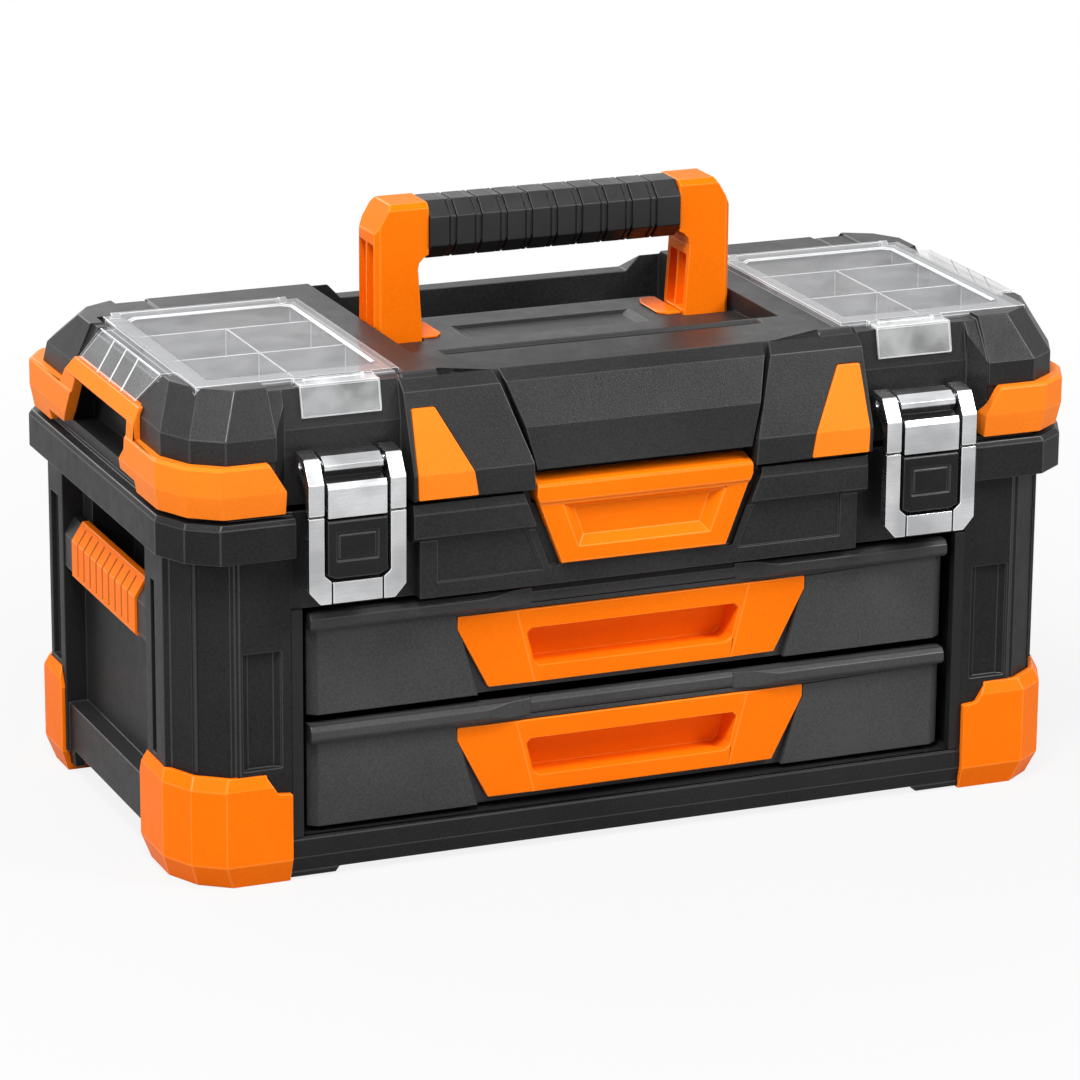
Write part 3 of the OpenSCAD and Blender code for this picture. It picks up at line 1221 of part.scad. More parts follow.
module organiser_cover(side) color(clear) on_side(side) difference() {
  union() {
    block([org_in, -org_front, cover_z], [org_out, org_rear - 1.4, cover_z + cover_t]);
    // skirt around the tray's rim, open at the hinge
    difference() {
      block([org_in, -org_front, org_base], [org_out, org_rear - 1.4, cover_z + 1]);
      block([org_in + skirt_t, -org_front + skirt_t, 0], [org_out - skirt_t, far, far]);
    }
    difference() {
      union() {
        along_y(-84, 40, flap(0));
        for (y = [-44, -22, 0]) along_y(y - 0.5, y + 0.5, flap(0.7));
      }
      along_x(0, far, [[-far, far], [-83, far], [-83, cover_z + cover_t + 1], [-63, deck - 21], [-63, 0], [-far, 0]]);
      along_x(0, far, [[27, far], [27, cover_z + cover_t + 1], [39, deck - 21], [39, 0], [far, 0], [far, far]]);
    }
    // knuckle between the tray's ears
    rod(org_in + 11 + seat_gap, org_out - 11 - seat_gap, org_hinge[0], org_hinge[1], org_barrel_d);
    block([org_in + 11 + seat_gap, org_rear - 6, cover_z], [org_out - 11 - seat_gap, org_hinge[0], cover_z + cover_t]);
    // knuckles of the clasp
    for (x = [clasp_in, clasp_out - 6])
      along_x(x, x + 6, [[-org_front + 0.5, cover_z - 2], [clasp_axis[0], cover_z - 1.2],
        [clasp_axis[0] - 1.4, cover_z + 0.6], [clasp_axis[0], cover_z + 2.2], [-org_front + 0.5, cover_z + cover_t]]);
  }
  // window is sunk and thinner than its border
  translate([0, 0, cover_z + 1.1]) linear_extrude(far) polygon(window(1));
  translate([0, 0, cover_z + cover_t - 0.5]) linear_extrude(far) polygon(window(0));
  rod(0, far, org_hinge[0], org_hinge[1], org_pin_d + 2 * pin_gap);
  rod(0, far, clasp_axis[0], clasp_axis[1], 1.4 + 2 * pin_gap);
}

// Bent tab that closes a cover over the lid's front edge
module organiser_clasp(side) color(clear) on_side(side) {
  low = clasp_low;
  lean = (deck_front + 4.6 - (deck_front + 0.4)) / (deck - ridge);
  front = deck_front + 1.6 + lean * (deck - low);
  difference() {
    union() {
      along_x(clasp_in, clasp_out, [[clasp_axis[0] - 2.4, cover_z - 0.6], [clasp_axis[0] - 2.4, cover_z + 1.2],
        [-deck_front - 2.6, cover_z + 1.2], [-front - 1.8, low + 1], [-front - 1.2, low], [-front, low],
        [-deck_front - 0.8, cover_z - 0.6]]);
      rod(clasp_in + 6 + seat_gap, clasp_out - 6 - seat_gap, clasp_axis[0], clasp_axis[1], clasp_d - 0.8);
      block([clasp_in + 6 + seat_gap, clasp_axis[0] - 3, cover_z - 0.6],
        [clasp_out - 6 - seat_gap, clasp_axis[0], cover_z + 1.2]);
    }
    for (x = [clasp_in - 1, clasp_out - 6 - seat_gap])
      block([x, clasp_axis[0] - 2.4, cover_z - 3], [x + 7 + seat_gap, far, far]);
  }
  rod(clasp_in + 0.5, clasp_out - 0.5, clasp_axis[0], clasp_axis[1], 1.4);
}

module cover_pin(side) color(clear) on_side(side)
  rod(org_in + 6.5, org_out - 6.5, org_hinge[0], org_hinge[1], org_pin_d);

case_shell();
bay_side(-1);  // bay_side_left
bay_side(1);  // bay_side_right
bay_shelf();
front_fascia();
middle_plate();
foot(-1, false);  // foot_front_left
foot(1, false);  // foot_front_right
foot(-1, true);  // foot_rear_left
foot(1, true);  // foot_rear_right
side_grip(-1);  // side_grip_left
side_grip(1);  // side_grip_right
grip_bar(-1);  // grip_bar_left
grip_bar(1);  // grip_bar_right
latch_keeper(-1);  // latch_keeper_left
latch_keeper(1);  // latch_keeper_right
hinge_leaf(-1);  // hinge_leaf_left
hinge_leaf(1);  // hinge_leaf_right
hinge_pin(-1);  // hinge_pin_left
hinge_pin(1);  // hinge_pin_right
lid_shell();
lid_trim(-1);  // lid_trim_left
lid_trim(1);  // lid_trim_right
lid_accent(-1);  // lid_accent_left
lid_accent(1);  // lid_accent_right
latch_mount(-1);  // latch_mount_left
latch_mount(1);  // latch_mount_right
latch_pin(-1);  // latch_pin_left
latch_pin(1);  // latch_pin_right
lid_hinge(-1);  // lid_hinge_left
lid_hinge(1);  // lid_hinge_right
pivot_block(-1);  // pivot_block_left
pivot_block(1);  // pivot_block_right
handle_pin(-1);  // handle_pin_left
handle_pin(1);  // handle_pin_right
handle_post(-1);  // handle_post_left
handle_post(1);  // handle_post_right
handle_core();
handle_grip();
latch_lever(-1);  // latch_lever_left
latch_lever(1);  // latch_lever_right
latch_pad(-1);  // latch_pad_left
latch_pad(1);  // latch_pad_right
drawer_tray(1);  // upper_drawer_tray
drawer_front(1);  // upper_drawer_front
drawer_bezel(1);  // upper_drawer_bezel
drawer_tray(0);  // lower_drawer_tray
drawer_front(0);  // lower_drawer_front
drawer_bezel(0);  // lower_drawer_bezel
organiser_tray(-1);  // organiser_tray_left
organiser_tray(1);  // organiser_tray_right
organiser_cover(-1);  // organiser_cover_left
organiser_cover(1);  // organiser_cover_right
organiser_clasp(-1);  // organiser_clasp_left
organiser_clasp(1);  // organiser_clasp_right
cover_pin(-1);  // cover_pin_left
cover_pin(1);  // cover_pin_right
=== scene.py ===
import bpy
import math
from mathutils import Vector, Matrix


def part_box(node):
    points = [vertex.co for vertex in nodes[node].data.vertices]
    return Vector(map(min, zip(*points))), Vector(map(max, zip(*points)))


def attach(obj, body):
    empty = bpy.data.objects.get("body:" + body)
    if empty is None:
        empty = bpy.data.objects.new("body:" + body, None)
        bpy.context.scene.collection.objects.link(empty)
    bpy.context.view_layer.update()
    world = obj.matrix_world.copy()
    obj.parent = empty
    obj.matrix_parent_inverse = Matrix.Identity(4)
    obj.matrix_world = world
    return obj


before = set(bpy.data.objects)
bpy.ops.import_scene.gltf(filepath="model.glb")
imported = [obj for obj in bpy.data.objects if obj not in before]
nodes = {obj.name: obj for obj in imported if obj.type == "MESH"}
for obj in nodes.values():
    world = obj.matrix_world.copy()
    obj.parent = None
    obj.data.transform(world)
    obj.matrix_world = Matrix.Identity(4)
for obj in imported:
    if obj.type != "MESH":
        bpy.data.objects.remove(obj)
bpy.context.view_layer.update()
scene = bpy.context.scene
scene.view_settings.view_transform = "Standard"

# ------------------------------------------------------------------ camera

AZIMUTH = math.radians(-22.58)
ELEVATION = math.radians(17.04)
ROLL = math.radians(0.4)
TARGET = Vector((-0.00303, 0.0, 0.14089))   # the point that the camera looks at
DISTANCE = 3.04632          # from that point, in metres, as all lengths but the next two
LENS = 168.47               # focal length and sensor width, in millimetres
SENSOR = 36
NEAR, FAR = 0.05, 100       # clipping distances

back = Vector((math.sin(AZIMUTH) * math.cos(ELEVATION),
               -math.cos(AZIMUTH) * math.cos(ELEVATION),
               math.sin(ELEVATION)))
place = TARGET + back * DISTANCE
level = (-back).cross(Vector((0, 0, 1))).normalized()
upright = level.cross(-back)
right = math.cos(ROLL) * level + math.sin(ROLL) * upright
above = -math.sin(ROLL) * level + math.cos(ROLL) * upright
camera = bpy.data.objects.new("camera", bpy.data.cameras.new("camera"))
scene.collection.objects.link(camera)
camera.matrix_world = Matrix(((right.x, above.x, back.x, place.x),
                              (right.y, above.y, back.y, place.y),
                              (right.z, above.z, back.z, place.z),
                              (0, 0, 0, 1)))
camera.data.sensor_width = SENSOR
camera.data.lens = LENS
camera.data.clip_start = NEAR
camera.data.clip_end = FAR
scene.camera = camera

# ------------------------------------------------------------------ node helpers


class Tree:
    """A node tree with short calls for its nodes."""

    def __init__(self, tree):
        self.tree = tree

    def node(self, kind, **values):
        """Adds a node and sets its properties."""
        made = self.tree.nodes.new(kind)
        for key, value in values.items():
            setattr(made, key, value)
        return made

    def link(self, source, socket):
        """Feeds a socket: a number or a colour is set on it, an output is linked to it."""
        if isinstance(source, (int, float, tuple)):
            socket.default_value = source
        else:
            self.tree.links.new(source, socket)

    def feed(self, made, sources):
        """Feeds those inputs of a node that are named."""
        for name, source in sources.items():
            self.link(source, made.inputs[name])

    def maths(self, operation, a, b=0.0):
        """A mathematical operation on one or two numbers."""
        made = self.node("ShaderNodeMath", operation=operation)
        self.link(a, made.inputs[0])
        self.link(b, made.inputs[1])
        return made.outputs[0]

    def plus(self, a, b):
        return self.maths("ADD", a, b)

    def minus(self, a, b):
        return self.maths("SUBTRACT", a, b)

    def times(self, a, b):
        return self.maths("MULTIPLY", a, b)

    def larger(self, a, b):
        return self.maths("MAXIMUM", a, b)

    def distance(self, a, b):
        """How far two numbers are apart."""
        return self.maths("ABSOLUTE", self.minus(a, b))

    def span(self, value, low, high, to_low=0, to_high=1):
        """Spreads low to high over to_low to to_high, and keeps to the ends beyond them."""
        made = self.node("ShaderNodeMapRange")
        self.feed(made, {"Value": value, "From Min": low, "From Max": high,
                         "To Min": to_low, "To Max": to_high})
        return made.outputs["Result"]

    def from_on(self, value, start, fade):
        """0 below the start, and 1 once the value is beyond it by the fade."""
        return self.span(value, start, start + fade, 0, 1)

    def up_to(self, value, end, fade):
        """1 up to the end, and 0 once the value is beyond it by the fade."""
        return self.span(value, end, end + fade, 1, 0)

    def mix(self, share, a, b):
        """Mixes two colours."""
        made = self.node("ShaderNodeMix", data_type="RGBA")
        self.feed(made, {"Factor": share, "A": a, "B": b})
        return made.outputs["Result"]

    def mix_shaders(self, share, a, b):
        made = self.node("ShaderNodeMixShader")
        for source, socket in zip((share, a, b), made.inputs):
            self.link(source, socket)
        return made.outputs[0]

    def axes(self, vector):
        """The X, Y and Z of a vector."""
        made = self.node("ShaderNodeSeparateXYZ")
        self.link(vector, made.inputs[0])
        return tuple(made.outputs)


class Finish(Tree):
    """A new material, with its shader and the coordinates of its object."""

    def __init__(self, name):
        self.material = bpy.data.materials.new(name)
        self.material.use_nodes = True
        super().__init__(self.material.node_tree)
        self.shader = self.tree.nodes["Principled BSDF"]
        self.place = self.node("ShaderNodeTexCoord").outputs["Object"]

    def noise(self, scale, detail, rough=0.5, place=None):
        """Noise with about as many features per metre as its scale."""
        made = self.node("ShaderNodeTexNoise")
        self.feed(made, {"Vector": place or self.place, "Scale": scale,
                         "Detail": detail, "Roughness": rough})
        return made.outputs["Fac"]

    def stretched(self, scales):
        """The coordinates, with a scale of its own for each axis."""
        made = self.node("ShaderNodeMapping")
        self.feed(made, {"Vector": self.place, "Scale": scales})
        return made.outputs["Vector"]

    def shade(self, name, source):
        """Feeds an input of the shader."""
        self.link(source, self.shader.inputs[name])

    def relief(self, height, strength, depth):
        """Gives the surface a fine relief by bump."""
        made = self.node("ShaderNodeBump")
        self.feed(made, {"Height": height, "Strength": strength, "Distance": depth})
        self.shade("Normal", made.outputs["Normal"])


# The part of a noise's values that is spread over the whole range of a gloss or a colour.
SMEAR = (0.3, 0.7)
CLOUD = (0.35, 0.65)
BRUSH = (0.36, 0.64)
SPECKLE = (0.38, 0.62)

# ------------------------------------------------------------------ moulded plastic

FLOW_SCALE = 9              # slow changes of tone
SMEAR_SCALE = 60            # changes of gloss
FINE_SCALE, COARSE_SCALE = 1900, 760        # the two grains of the eroded surface
GRAIN_ROUGH = 0.6
COARSE_HEIGHT = 1.2         # height of the coarse grain, for a fine grain of 1
GRAIN_DEPTH = 0.0002
GLOSSIER, DULLER = 0.05, 0.06       # how far the roughness goes below and above its mean
GROOVE_SHADE_TONE = 0.42          # colour of the painted shade in a groove, for 1 of the plastic's darker colour
GROOVE_HALF, GROOVE_FADE = 0.0006, 0.001    # half its width that is fully shaded, and the fade
GROOVE_END, GROOVE_TIP = 0.0005, 0.0008     # fade across the row's end and at a groove's tip


def rib_groove_shade(t, middle, reach, step, low, high):
    """Where shade is painted in the grooves: every step along Y, within reach of the middle, and from low
    to high.
    """
    _, y, z = t.axes(t.place)
    along = t.minus(y, middle)
    inside = t.times(t.up_to(t.maths("PINGPONG", along, step / 2), GROOVE_HALF, GROOVE_FADE),
                     t.up_to(t.maths("ABSOLUTE", along), reach, GROOVE_END))
    inside = t.times(inside, t.from_on(z, low, GROOVE_TIP))
    return t.times(inside, t.up_to(z, high, GROOVE_TIP))


def moulded(name, dark, light, rough, grain, specular, ribs=None):
    """Moulded plastic with an eroded grain, soft flow shading, an uneven gloss and, if ribs are given,
    painted shade in their grooves.
    """
    t = Finish(name)
    flow = t.noise(FLOW_SCALE, detail=3)
    fine = t.noise(FINE_SCALE, detail=2, rough=GRAIN_ROUGH)
    coarse = t.noise(COARSE_SCALE, detail=3, rough=GRAIN_ROUGH)
    smear = t.noise(SMEAR_SCALE, detail=4, rough=0.65)
    speckle = t.plus(t.times(flow, 0.5), t.times(coarse, 0.5))
    colour = t.mix(t.span(speckle, *SPECKLE), dark, light)
    if ribs:
        # painted shade in the grooves: a darker copy of the plastic's colour
        groove = tuple(GROOVE_SHADE_TONE * c for c in dark[:3]) + (1,)
        colour = t.mix(rib_groove_shade(t, **ribs), colour, groove)
    t.shade("Base Color", colour)
    t.shade("Roughness", t.span(smear, *SMEAR, rough - GLOSSIER, rough + DULLER))
    t.shade("Specular IOR Level", specular)
    t.relief(t.plus(fine, t.times(coarse, COARSE_HEIGHT)), grain, GRAIN_DEPTH)
    return t.material


# Grooves of the side grips, where shade is painted: their middle, reach and step along Y, and their
# height from low to high.
RIBS = {"middle": 0.0045, "reach": 0.056, "step": 0.0119, "low": 0.133, "high": 0.1613}
ORANGE = {"dark": (0.88, 0.155, 0.002, 1), "light": (0.95, 0.182, 0.003, 1),
          "rough": 0.36, "grain": 0.25, "specular": 0.04}
# a paler copy of the orange for the rounded edges: a painted highlight, with a real higher gloss
ORANGE_EDGE_HIGHLIGHT = {"dark": (0.92, 0.190, 0.006, 1), "light": (0.97, 0.225, 0.012, 1),
               "rough": 0.30, "grain": 0.2, "specular": 0.2}

charcoal = moulded("charcoal_plastic", (0.012, 0.012, 0.0124, 1), (0.027, 0.027, 0.0278, 1),
                   rough=0.33, grain=0.6, specular=0.15)
# a lighter copy of the charcoal for the rounded edges: a painted highlight, with a real higher gloss
charcoal_edge_highlight = moulded("charcoal_edge_highlight", (0.019, 0.019, 0.0196, 1), (0.031, 0.031, 0.032, 1),
                        rough=0.32, grain=0.1, specular=0.38)
charcoal_deep = moulded("charcoal_deep", (0.007, 0.007, 0.0073, 1), (0.016, 0.016, 0.0165, 1),
                        rough=0.36, grain=0.6, specular=0.10)
charcoal_case = moulded("charcoal_case", (0.010, 0.010, 0.0104, 1), (0.021, 0.021, 0.0216, 1),
                        rough=0.36, grain=0.6, specular=0.10)
# a lighter copy of the charcoal for the drawer fronts: painted light
charcoal_lit_front = moulded("charcoal_lit_front", (0.034, 0.034, 0.0348, 1), (0.060, 0.060, 0.0613, 1),
                         rough=0.35, grain=0.6, specular=0.12)
charcoal_inner = moulded("charcoal_inner", (0.009, 0.009, 0.0095, 1), (0.014, 0.014, 0.0145, 1),
                         rough=0.46, grain=0.4, specular=0.2)
orange = moulded("orange_plastic", **ORANGE)
# the side grips, with painted shade in the grooves between their ribs
orange_ribbed = moulded("orange_ribbed", **ORANGE, ribs=RIBS)
# a paler copy of the orange for the trims and accents, which tilt up: painted light
orange_painted_light = moulded("orange_painted_light", (0.89, 0.200, 0.012, 1), (0.96, 0.230, 0.018, 1),
                      rough=0.36, grain=0.25, specular=0.04)
# the rounded edges of the orange parts, paler: a painted highlight
orange_edge_highlight = moulded("orange_edge_highlight", **ORANGE_EDGE_HIGHLIGHT)
ribbed_edge_highlight = moulded("ribbed_edge_highlight", **ORANGE_EDGE_HIGHLIGHT, ribs=RIBS)

# ------------------------------------------------------------------ metal and rubber

TARNISH_SCALE = 34
LINES_SHARE = 0.18          # share of the brush lines in the tone; the tarnish has the rest
LINES_DEPTH = 0.00003
METAL_GLOSSIER, METAL_DULLER = 0.04, 0.06

NICHE_LOW, NICHE_HIGH, NICHE_FRONT = 0.2386, 0.2462, -0.1562    # groove of the latches' knuckle, where shade is painted
NICHE_FADES = (0.0006, 0.0012, 0.0008)      # at its low, high and front side
# a dark band of painted shade in the knuckle's groove
KNUCKLE_SHADE_COLOUR = (0.09, 0.09, 0.092, 1)

SEAM_COLOUR = (0.04, 0.04, 0.041, 1)
SPLIT_HEIGHT, SPLIT_HALF = 0.2208, 0.0004   # level seam across a latch, and half its width
MITRE_REACH, MITRE_HALF = 0.0152, 0.0003    # upright seams, from a latch's middle
MITRE_TOP, MITRE_END = 0.1831, 0.0005       # where they end, and their fade there
SEAM_FADE = 0.0003
lever_low, lever_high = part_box("latch_lever_right")
LATCH_MIDDLE = (lever_low[0] + lever_high[0]) / 2


def knuckle_shade(t):
    """Where shade is painted in the groove of a latch's knuckle."""
    low_fade, high_fade, front_fade = NICHE_FADES
    _, y, z = t.axes(t.place)
    inside = t.times(t.from_on(z, NICHE_LOW, low_fade),
                     t.up_to(z, NICHE_HIGH - high_fade, high_fade))
    return t.times(inside, t.from_on(y, NICHE_FRONT, front_fade))


def seams(t):
    """Where a latch's seams lie: the split line, and the mitre lines under it."""
    x, _, z = t.axes(t.place)
    split = t.up_to(t.distance(z, SPLIT_HEIGHT), SPLIT_HALF, SEAM_FADE)
    aside = t.distance(t.maths("ABSOLUTE", x), LATCH_MIDDLE)
    mitre = t.up_to(t.distance(aside, MITRE_REACH), MITRE_HALF, SEAM_FADE)
    return t.larger(split, t.times(mitre, t.up_to(z, MITRE_TOP, MITRE_END)))


def metal(name, dark, light, rough, brush, grain, seams_or_shade=None, seams_or_shade_colour=None):
    """Satin metal with an uneven tone and gloss, brush lines along one axis, and, if given, dark seams or
    a band of painted shade.
    """
    t = Finish(name)
    lines = t.noise(1.0, detail=3, rough=0.6, place=t.stretched(brush))
    tarnish = t.noise(TARNISH_SCALE, detail=2)
    tone = t.plus(t.times(lines, LINES_SHARE), t.times(tarnish, 1 - LINES_SHARE))
    gloss = t.plus(t.times(lines, 0.5), t.times(tarnish, 0.5))
    colour = t.mix(t.span(tone, *BRUSH), dark, light)
    if seams_or_shade:
        colour = t.mix(seams_or_shade(t), colour, seams_or_shade_colour)
    t.shade("Base Color", colour)
    t.shade("Roughness", t.span(gloss, *CLOUD, rough - METAL_GLOSSIER, rough + METAL_DULLER))
    t.shade("Metallic", 1.0)
    t.relief(lines, grain, LINES_DEPTH)
    return t.material


RUBBER_DARK, RUBBER_LIGHT = (0.005, 0.005, 0.0053, 1), (0.010, 0.010, 0.0104, 1)
RUBBER_GLOSS = (0.32, 0.45)
RUBBER_FLOW, RUBBER_GRAIN, RUBBER_SMEAR = 14, 1500, 90      # scales of its noises


def soft_rubber(name, specular, grain):
    """Soft rubber with a fine grain, a soft change of tone and an uneven gloss."""
    t = Finish(name)
    flow = t.noise(RUBBER_FLOW, detail=3)
    fine = t.noise(RUBBER_GRAIN, detail=2, rough=GRAIN_ROUGH)
    smear = t.noise(RUBBER_SMEAR, detail=4, rough=0.6)
    t.shade("Base Color", t.mix(t.span(flow, *CLOUD), RUBBER_DARK, RUBBER_LIGHT))
    t.shade("Roughness", t.span(smear, *SMEAR, *RUBBER_GLOSS))
    t.shade("Specular IOR Level", specular)
    t.relief(fine, grain, GRAIN_DEPTH)
    return t.material


UPRIGHT_BRUSH = (60, 60, 2200)      # scale of the brush lines for each axis
TURNED_BRUSH = (60, 1600, 1600)

silver = metal("satin_silver", (0.50, 0.505, 0.515, 1), (0.74, 0.745, 0.755, 1),
               rough=0.24, brush=UPRIGHT_BRUSH, grain=0.2, seams_or_shade=seams, seams_or_shade_colour=SEAM_COLOUR)
# the latch mounts, with painted shade in the groove of their knuckle
knuckle = metal("silver_knuckle", (0.50, 0.505, 0.515, 1), (0.76, 0.765, 0.775, 1),
                rough=0.24, brush=UPRIGHT_BRUSH, grain=0.2, seams_or_shade=knuckle_shade, seams_or_shade_colour=KNUCKLE_SHADE_COLOUR)
# a paler copy of the silver for the rounded edges of the levers: a painted highlight
silver_edge_highlight = metal("silver_edge_highlight", (0.76, 0.765, 0.77, 1), (0.86, 0.865, 0.87, 1),
                    rough=0.24, brush=UPRIGHT_BRUSH, grain=0.05, seams_or_shade=seams,
                    seams_or_shade_colour=SEAM_COLOUR)
steel = metal("drawn_steel", (0.42, 0.43, 0.44, 1), (0.52, 0.53, 0.54, 1),
              rough=0.30, brush=TURNED_BRUSH, grain=0.2)
rubber = soft_rubber("soft_rubber", specular=0.4, grain=0.25)

# ------------------------------------------------------------------ clear and frosted plastic

FACING_BLEND = 0.4
LEVEL_NORMAL = (0.6, 0.8)   # Z of a face's normal where it starts to count as level, and where it does
TINT_SCALE, HAZE_SCALE = 40, 55
PALE = 1.12                 # the paler tint, for 1 of the tint
CLEAR_SMEAR_SCALE = 80
CLEAR_GLOSSIER, CLEAR_DULLER = 0.03, 0.05
WAVE_SCALE, WAVE_STRENGTH, WAVE_DEPTH = 90, 0.08, 0.0004    # its slight waves
BORDER_VEIL = 0.50          # alpha of a clear cover's thick border
BORDER_FADE = 0.0008

# The thin window of the covers: middle and half width in X and in Y. The border ends at far_x.
COVER_WINDOW = {"middle_x": 0.19725, "half_x": 0.05075, "middle_y": -0.0295, "half_y": 0.0735,
                "far_x": 0.2592}


def border(t, middle_x, half_x, middle_y, half_y, far_x):
    """Alpha of a cover's border round its window. Both sides of X = 0 have one."""
    x, y, _ = t.axes(t.place)
    x = t.maths("ABSOLUTE", x)
    outside = t.larger(t.minus(t.distance(x, middle_x), half_x),
                       t.minus(t.distance(y, middle_y), half_y))
    veil = t.span(outside, 0, BORDER_FADE, 0, BORDER_VEIL)
    return t.times(veil, t.up_to(x, far_x - BORDER_FADE, BORDER_FADE))


def clear_plastic(name, tint, walls, floors, rough, specular, haze=0.0, window=None):
    """Clear moulded plastic.

    Walls and floors are the alpha of upright and of level faces, from face on to grazing angles.
    Haze is how much it varies over the piece, as in clear plastic that has been handled. The
    window is a thinner field, and level faces outside it are less clear.
    """
    t = Finish(name)
    _, _, normal_z = t.axes(t.node("ShaderNodeNewGeometry").outputs["True Normal"])
    level = t.span(t.maths("ABSOLUTE", normal_z), *LEVEL_NORMAL)
    weight = t.node("ShaderNodeLayerWeight")
    weight.inputs["Blend"].default_value = FACING_BLEND
    facing = weight.outputs["Facing"]
    veil = t.plus(t.times(t.span(facing, 0.0, 1.0, *floors), level),
                  t.times(t.span(facing, 0.0, 1.0, *walls), t.minus(1.0, level)))
    if haze:
        veil = t.times(veil, t.span(t.noise(HAZE_SCALE, detail=2), *CLOUD, 1 - haze, 1 + haze))
    if window:
        veil = t.larger(veil, t.times(border(t, **window), level))
    t.shade("Alpha", veil)
    pale = tuple(min(1.0, PALE * c) for c in tint[:3]) + (1,)
    t.shade("Base Color", t.mix(t.span(t.noise(TINT_SCALE, detail=2), *CLOUD), tint, pale))
    smear = t.noise(CLEAR_SMEAR_SCALE, detail=3)
    t.shade("Roughness", t.span(smear, *SMEAR, rough - CLEAR_GLOSSIER, rough + CLEAR_DULLER))
    t.shade("Specular IOR Level", specular)
    t.relief(t.noise(WAVE_SCALE, detail=2), WAVE_STRENGTH, WAVE_DEPTH)
    return t.material


clear = clear_plastic("clear_plastic", (0.40, 0.405, 0.415, 1), walls=(0.06, 0.26),
                      floors=(0.06, 0.26), rough=0.10, specular=1.0, haze=0.2, window=COVER_WINDOW)
clear_thick = clear_plastic("clear_thick", (0.88, 0.89, 0.91, 1), walls=(0.14, 0.44),
                            floors=(0.14, 0.44), rough=0.10, specular=1.0, haze=0.4)
# whiter and less clear at the rounded edges: a painted highlight
clear_edge_highlight = clear_plastic("clear_edge_highlight", (0.88, 0.90, 0.91, 1), walls=(0.5, 0.75),
                           floors=(0.5, 0.75), rough=0.22, specular=0.6)
frosted = clear_plastic("frosted_plastic", (0.34, 0.343, 0.35, 1), walls=(0.80, 0.90),
                        floors=(1.0, 1.0), rough=0.28, specular=0.3)
# paler at the rounded edges, such as the tops of the dividers: a painted highlight
frosted_edge_highlight = clear_plastic("frosted_edge_highlight", (0.70, 0.71, 0.72, 1), walls=(0.85, 0.95),
                             floors=(1.0, 1.0), rough=0.2, specular=0.5)

# ------------------------------------------------------------------ carried-over CAD nodes

# The least angle between two faces, in degrees, at which the edge between them is rounded.
FACETS, CREASES, CORNERS = 1.2, 4, 24
WELD_REACH = 0.00001
NORMALS_WEIGHT = 80

# The first row that fits the start of a node's name says how it is dressed.
DRESSES = (
    (("middle_plate", "foot_", "pivot_block", "handle_post", "upper_drawer_bezel", "lower_drawer_bezel"),
     {"material": orange, "edge": orange_edge_highlight, "width": 0.0007, "angle": FACETS}),
    (("side_grip",),
     {"material": orange_ribbed, "edge": ribbed_edge_highlight, "width": 0.0005, "angle": FACETS}),
    (("lid_trim", "lid_accent"),
     {"material": orange_painted_light, "edge": orange_edge_highlight, "width": 0.0007, "angle": FACETS}),
    (("organiser_tray",), {"material": frosted, "edge": frosted_edge_highlight, "width": 0.0004, "segments": 1}),
    (("organiser_clasp",), {"material": clear_thick, "edge": clear_edge_highlight, "width": 0.0004, "segments": 1}),
    (("organiser_cover", "cover_pin"),
     {"material": clear, "edge": clear_edge_highlight, "width": 0.0004, "segments": 1}),
    (("latch_mount",), {"material": knuckle, "width": 0.0006}),
    (("latch_lever",), {"material": silver, "edge": silver_edge_highlight, "width": 0.0006}),
    (("hinge_pin", "handle_pin", "latch_pin", "handle_core"), {"material": steel, "width": 0.0002}),
    (("handle_grip",), {"material": rubber, "width": 0.0006}),
    (("bay_", "upper_drawer_tray", "lower_drawer_tray"), {"material": charcoal_inner, "width": 0.0004}),
    (("upper_drawer_front", "lower_drawer_front"),
     {"material": charcoal_lit_front, "edge": charcoal_edge_highlight, "width": 0.0006, "angle": CREASES}),
    (("case_shell",),
     {"material": charcoal_case, "edge": charcoal_edge_highlight, "width": 0.0006, "angle": CREASES}),
    (("latch_pad",),
     {"material": charcoal_deep, "edge": charcoal_edge_highlight, "width": 0.0006, "angle": CREASES}),
    (("",), {"material": charcoal, "edge": charcoal_edge_highlight, "width": 0.0006, "angle": CREASES}),
)


def dress(o, material, width, segments=2, angle=CORNERS, edge=None):
    """Gives a CAD node its material and rounds its edges, which may have their own material: mostly a
    lighter copy that paints a highlight on them.
    """
    o.data.materials.clear()
    o.data.materials.append(material)
    for p in o.data.polygons:
        p.material_index = 0
        p.use_smooth = True
    weld = o.modifiers.new("weld", "WELD")
    weld.merge_threshold = WELD_REACH
    bevel = o.modifiers.new("bevel", "BEVEL")
    bevel.width = width
    bevel.segments = segments
    bevel.limit_method = "ANGLE"
    bevel.angle_limit = math.radians(angle)
    bevel.use_clamp_overlap = False
    bevel.miter_outer = "MITER_ARC"
    # the rounded edges take the edge material, mostly a painted highlight
    if edge:
        o.data.materials.append(edge)
        bevel.material = 1
    normals = o.modifiers.new("normals", "WEIGHTED_NORMAL")
    normals.weight = NORMALS_WEIGHT
    normals.keep_sharp = False


for name in nodes:
    dress(nodes[name], **next(values for starts, values in DRESSES if name.startswith(starts)))

# ------------------------------------------------------------------ fillet inside the lid

# It closes the narrow slit that the CAD lid has where the ramp beside the handle meets the
# deck's underside. The points are (y, z).
FILLET_HALF = 0.1175                # ends inside the side walls of the handle recess
RAMP_HIGH = (-0.0762, 0.28515)      # just inside the deck, on the ramp's slope
RAMP_LOW = (-0.07485, 0.2822)       # just inside the ramp's wall, on its slope
WALL_END = (-0.07485, 0.2780)       # where the fillet runs out on the wall
DECK_END = (-0.0800, 0.28515)       # where it runs out under the deck
BEND = (-0.0754, 0.2848)            # the point that its curve is drawn towards
FILLET_STEPS = 8


